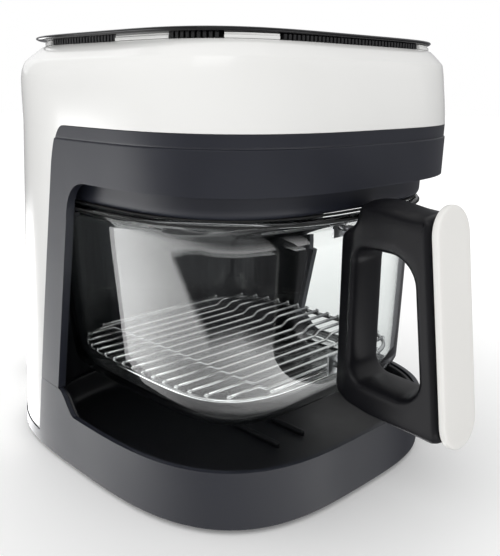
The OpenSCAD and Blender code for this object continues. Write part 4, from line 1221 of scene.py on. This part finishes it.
world = bpy.data.worlds.new("studio")
scene.world = world
world.use_nodes = True
wn = world.node_tree
for n in list(wn.nodes):
    wn.nodes.remove(n)
wo = wn.nodes.new("ShaderNodeOutputWorld")
bg = wn.nodes.new("ShaderNodeBackground")
bg2 = wn.nodes.new("ShaderNodeBackground")
mixw = wn.nodes.new("ShaderNodeMixShader")
bg.inputs[0].default_value = (1, 1, 1, 1)
lpc = wn.nodes.new("ShaderNodeLightPath")
# what mirrors see: bright overhead, grey sides, dim below, and a pale sweep low down to the left and front
tc = wn.nodes.new("ShaderNodeTexCoord")
sep = wn.nodes.new("ShaderNodeSeparateXYZ")
wn.links.new(tc.outputs["Generated"], sep.inputs[0])
rmp = wn.nodes.new("ShaderNodeValToRGB")
mr = wn.nodes.new("ShaderNodeMapRange")
mr.inputs[1].default_value, mr.inputs[2].default_value = -1, 1
wn.links.new(sep.outputs[2], mr.inputs[0])
e = rmp.color_ramp.elements
e[0].position, e[0].color = .30, (.16, .16, .17, 1)
e[1].position, e[1].color = .47, (.22, .22, .23, 1)
el = e.new(.60); el.color = (.50, .50, .51, 1)
el = e.new(.9); el.color = (.90, .90, .90, 1)
wn.links.new(mr.outputs[0], rmp.inputs[0])
wx, wy, wz = sep.outputs[0], sep.outputs[1], sep.outputs[2]
# matt surfaces get a little less light from the front right
side = math_node(wn, "ADD", math_node(wn, "MULTIPLY", wx, .45), math_node(wn, "MULTIPLY", wy, -.89))
shade = wn.nodes.new("ShaderNodeMapRange")
shade.inputs[1].default_value, shade.inputs[2].default_value = -.1, 1.0
shade.inputs[3].default_value, shade.inputs[4].default_value = 1.0, .55
wn.links.new(side, shade.inputs[0])
matt = math_node(wn, "MULTIPLY", math_node(wn, "SUBTRACT", 1.0, lpc.outputs["Is Camera Ray"]), lpc.outputs["Is Diffuse Ray"])
wn.links.new(math_node(wn, "SUBTRACT", 1.0, math_node(wn, "MULTIPLY", matt, math_node(wn, "SUBTRACT", 1.0, shade.outputs[0]))), bg.inputs[1])
ax_ = math_node(wn, "ADD", math_node(wn, "MULTIPLY", wx, -.788), math_node(wn, "MULTIPLY", wy, -.616))
ay_ = math_node(wn, "ADD", math_node(wn, "MULTIPLY", wx, .616), math_node(wn, "MULTIPLY", wy, -.788))
az = math_node(wn, "MULTIPLY", math_node(wn, "ARCTAN2", ay_, ax_), 180/math.pi)
edge_ = wn.nodes.new("ShaderNodeValToRGB")
ee = edge_.color_ramp.elements
stops = [(-100, .03), (-74, .07), (-69, .20), (-60, .35), (-42, .405), (-19, .44), (37, .37), (99, .35)]
while len(ee) < len(stops):
    ee.new(.5)
for el_, (a_, v_) in zip(ee, stops):
    el_.position = (a_ + 110)/220
    el_.color = (v_, v_, v_, 1)
a01 = wn.nodes.new("ShaderNodeMapRange")
a01.inputs[1].default_value, a01.inputs[2].default_value = -110, 110
wn.links.new(az, a01.inputs[0])
wn.links.new(a01.outputs[0], edge_.inputs[0])
sweep_mask = soft_step(wn, math_node(wn, "SUBTRACT", math_node(wn, "MULTIPLY", wz, -1.0), edge_.outputs[0]), -.012, .035)
sweep_mask = math_node(wn, "MULTIPLY", sweep_mask, soft_step(wn, az, -101.5, -99))
sweep_mask = math_node(wn, "MULTIPLY", sweep_mask, math_node(wn, "SUBTRACT", 1.0, soft_step(wn, az, 97, 112)))
low = wn.nodes.new("ShaderNodeMapRange")
low.inputs[1].default_value, low.inputs[2].default_value = -.64, -.41
low.inputs[3].default_value, low.inputs[4].default_value = .3, SWEEP
wn.links.new(wz, low.inputs[0])
side_mask = math_node(wn, "MULTIPLY", soft_step(wn, az, -148, -136), math_node(wn, "SUBTRACT", 1.0, soft_step(wn, az, -122, -118)))
side_mask = math_node(wn, "MULTIPLY", side_mask, math_node(wn, "SUBTRACT", 1.0, soft_step(wn, wz, -.30, -.12)))
bright = math_node(wn, "ADD", math_node(wn, "MULTIPLY", sweep_mask, low.outputs[0]), math_node(wn, "MULTIPLY", side_mask, 9.0))
tot = wn.nodes.new("ShaderNodeMix")
tot.data_type = "RGBA"
tot.blend_type = "ADD"
tot.clamp_result = False
tot.inputs[0].default_value = 1.0
comb = wn.nodes.new("ShaderNodeCombineColor")
for k_ in range(3):
    wn.links.new(bright, comb.inputs[k_])
wn.links.new(rmp.outputs[0], tot.inputs[6])
wn.links.new(comb.outputs[0], tot.inputs[7])
wn.links.new(tot.outputs[2], bg2.inputs[0])
bg2.inputs[1].default_value = 1.0
wn.links.new(mirrored(wn), mixw.inputs[0])
wn.links.new(bg.outputs[0], mixw.inputs[1])
wn.links.new(bg2.outputs[0], mixw.inputs[2])
wn.links.new(mixw.outputs[0], wo.inputs[0])


def area(name, loc, target, size, power, sy=None, glossy=True):
    l = bpy.data.lights.new(name, "AREA")
    l.shape = "RECTANGLE"
    l.size, l.size_y = size, sy or size
    l.energy = power
    o = bpy.data.objects.new(name, l)
    scene.collection.objects.link(o)
    o.location = loc
    o.rotation_euler = (Vector(target) - Vector(loc)).to_track_quat("-Z", "Y").to_euler()
    o.visible_camera = False
    o.visible_glossy = glossy
    return o


area("key_soft", (-1.3, -.9, 1.5), (0, -.05, .15), 1.3, 6.5)
area("fill_right", (1.5, -1.2, .9), (0, -.05, .15), 1.2, 1.0)
area("top_soft", (.1, .2, 2.0), (0, 0, .2), 1.6, 2.2)
area("back_soft", (.4, 1.8, 1.1), (0, 0, .15), 1.4, 2.5)

cam = bpy.data.cameras.new("camera")
cam.sensor_width = 36
cam.lens = 720*36/556
cam.clip_start = .01
co = bpy.data.objects.new("camera", cam)
scene.collection.objects.link(co)
f = Vector((.675, .691, -.260)).normalized()
up = Vector((.174, .193, .966))
r = f.cross(up).normalized()
up = r.cross(f).normalized()
m = Matrix((r, up, -f)).transposed().to_4x4()
m.translation = Vector((-.3733, -.4205, .276))
co.matrix_world = m
scene.camera = co
scene.view_settings.view_transform = "Standard"
scene.view_settings.look = "None"
scene.view_settings.exposure = 0.0
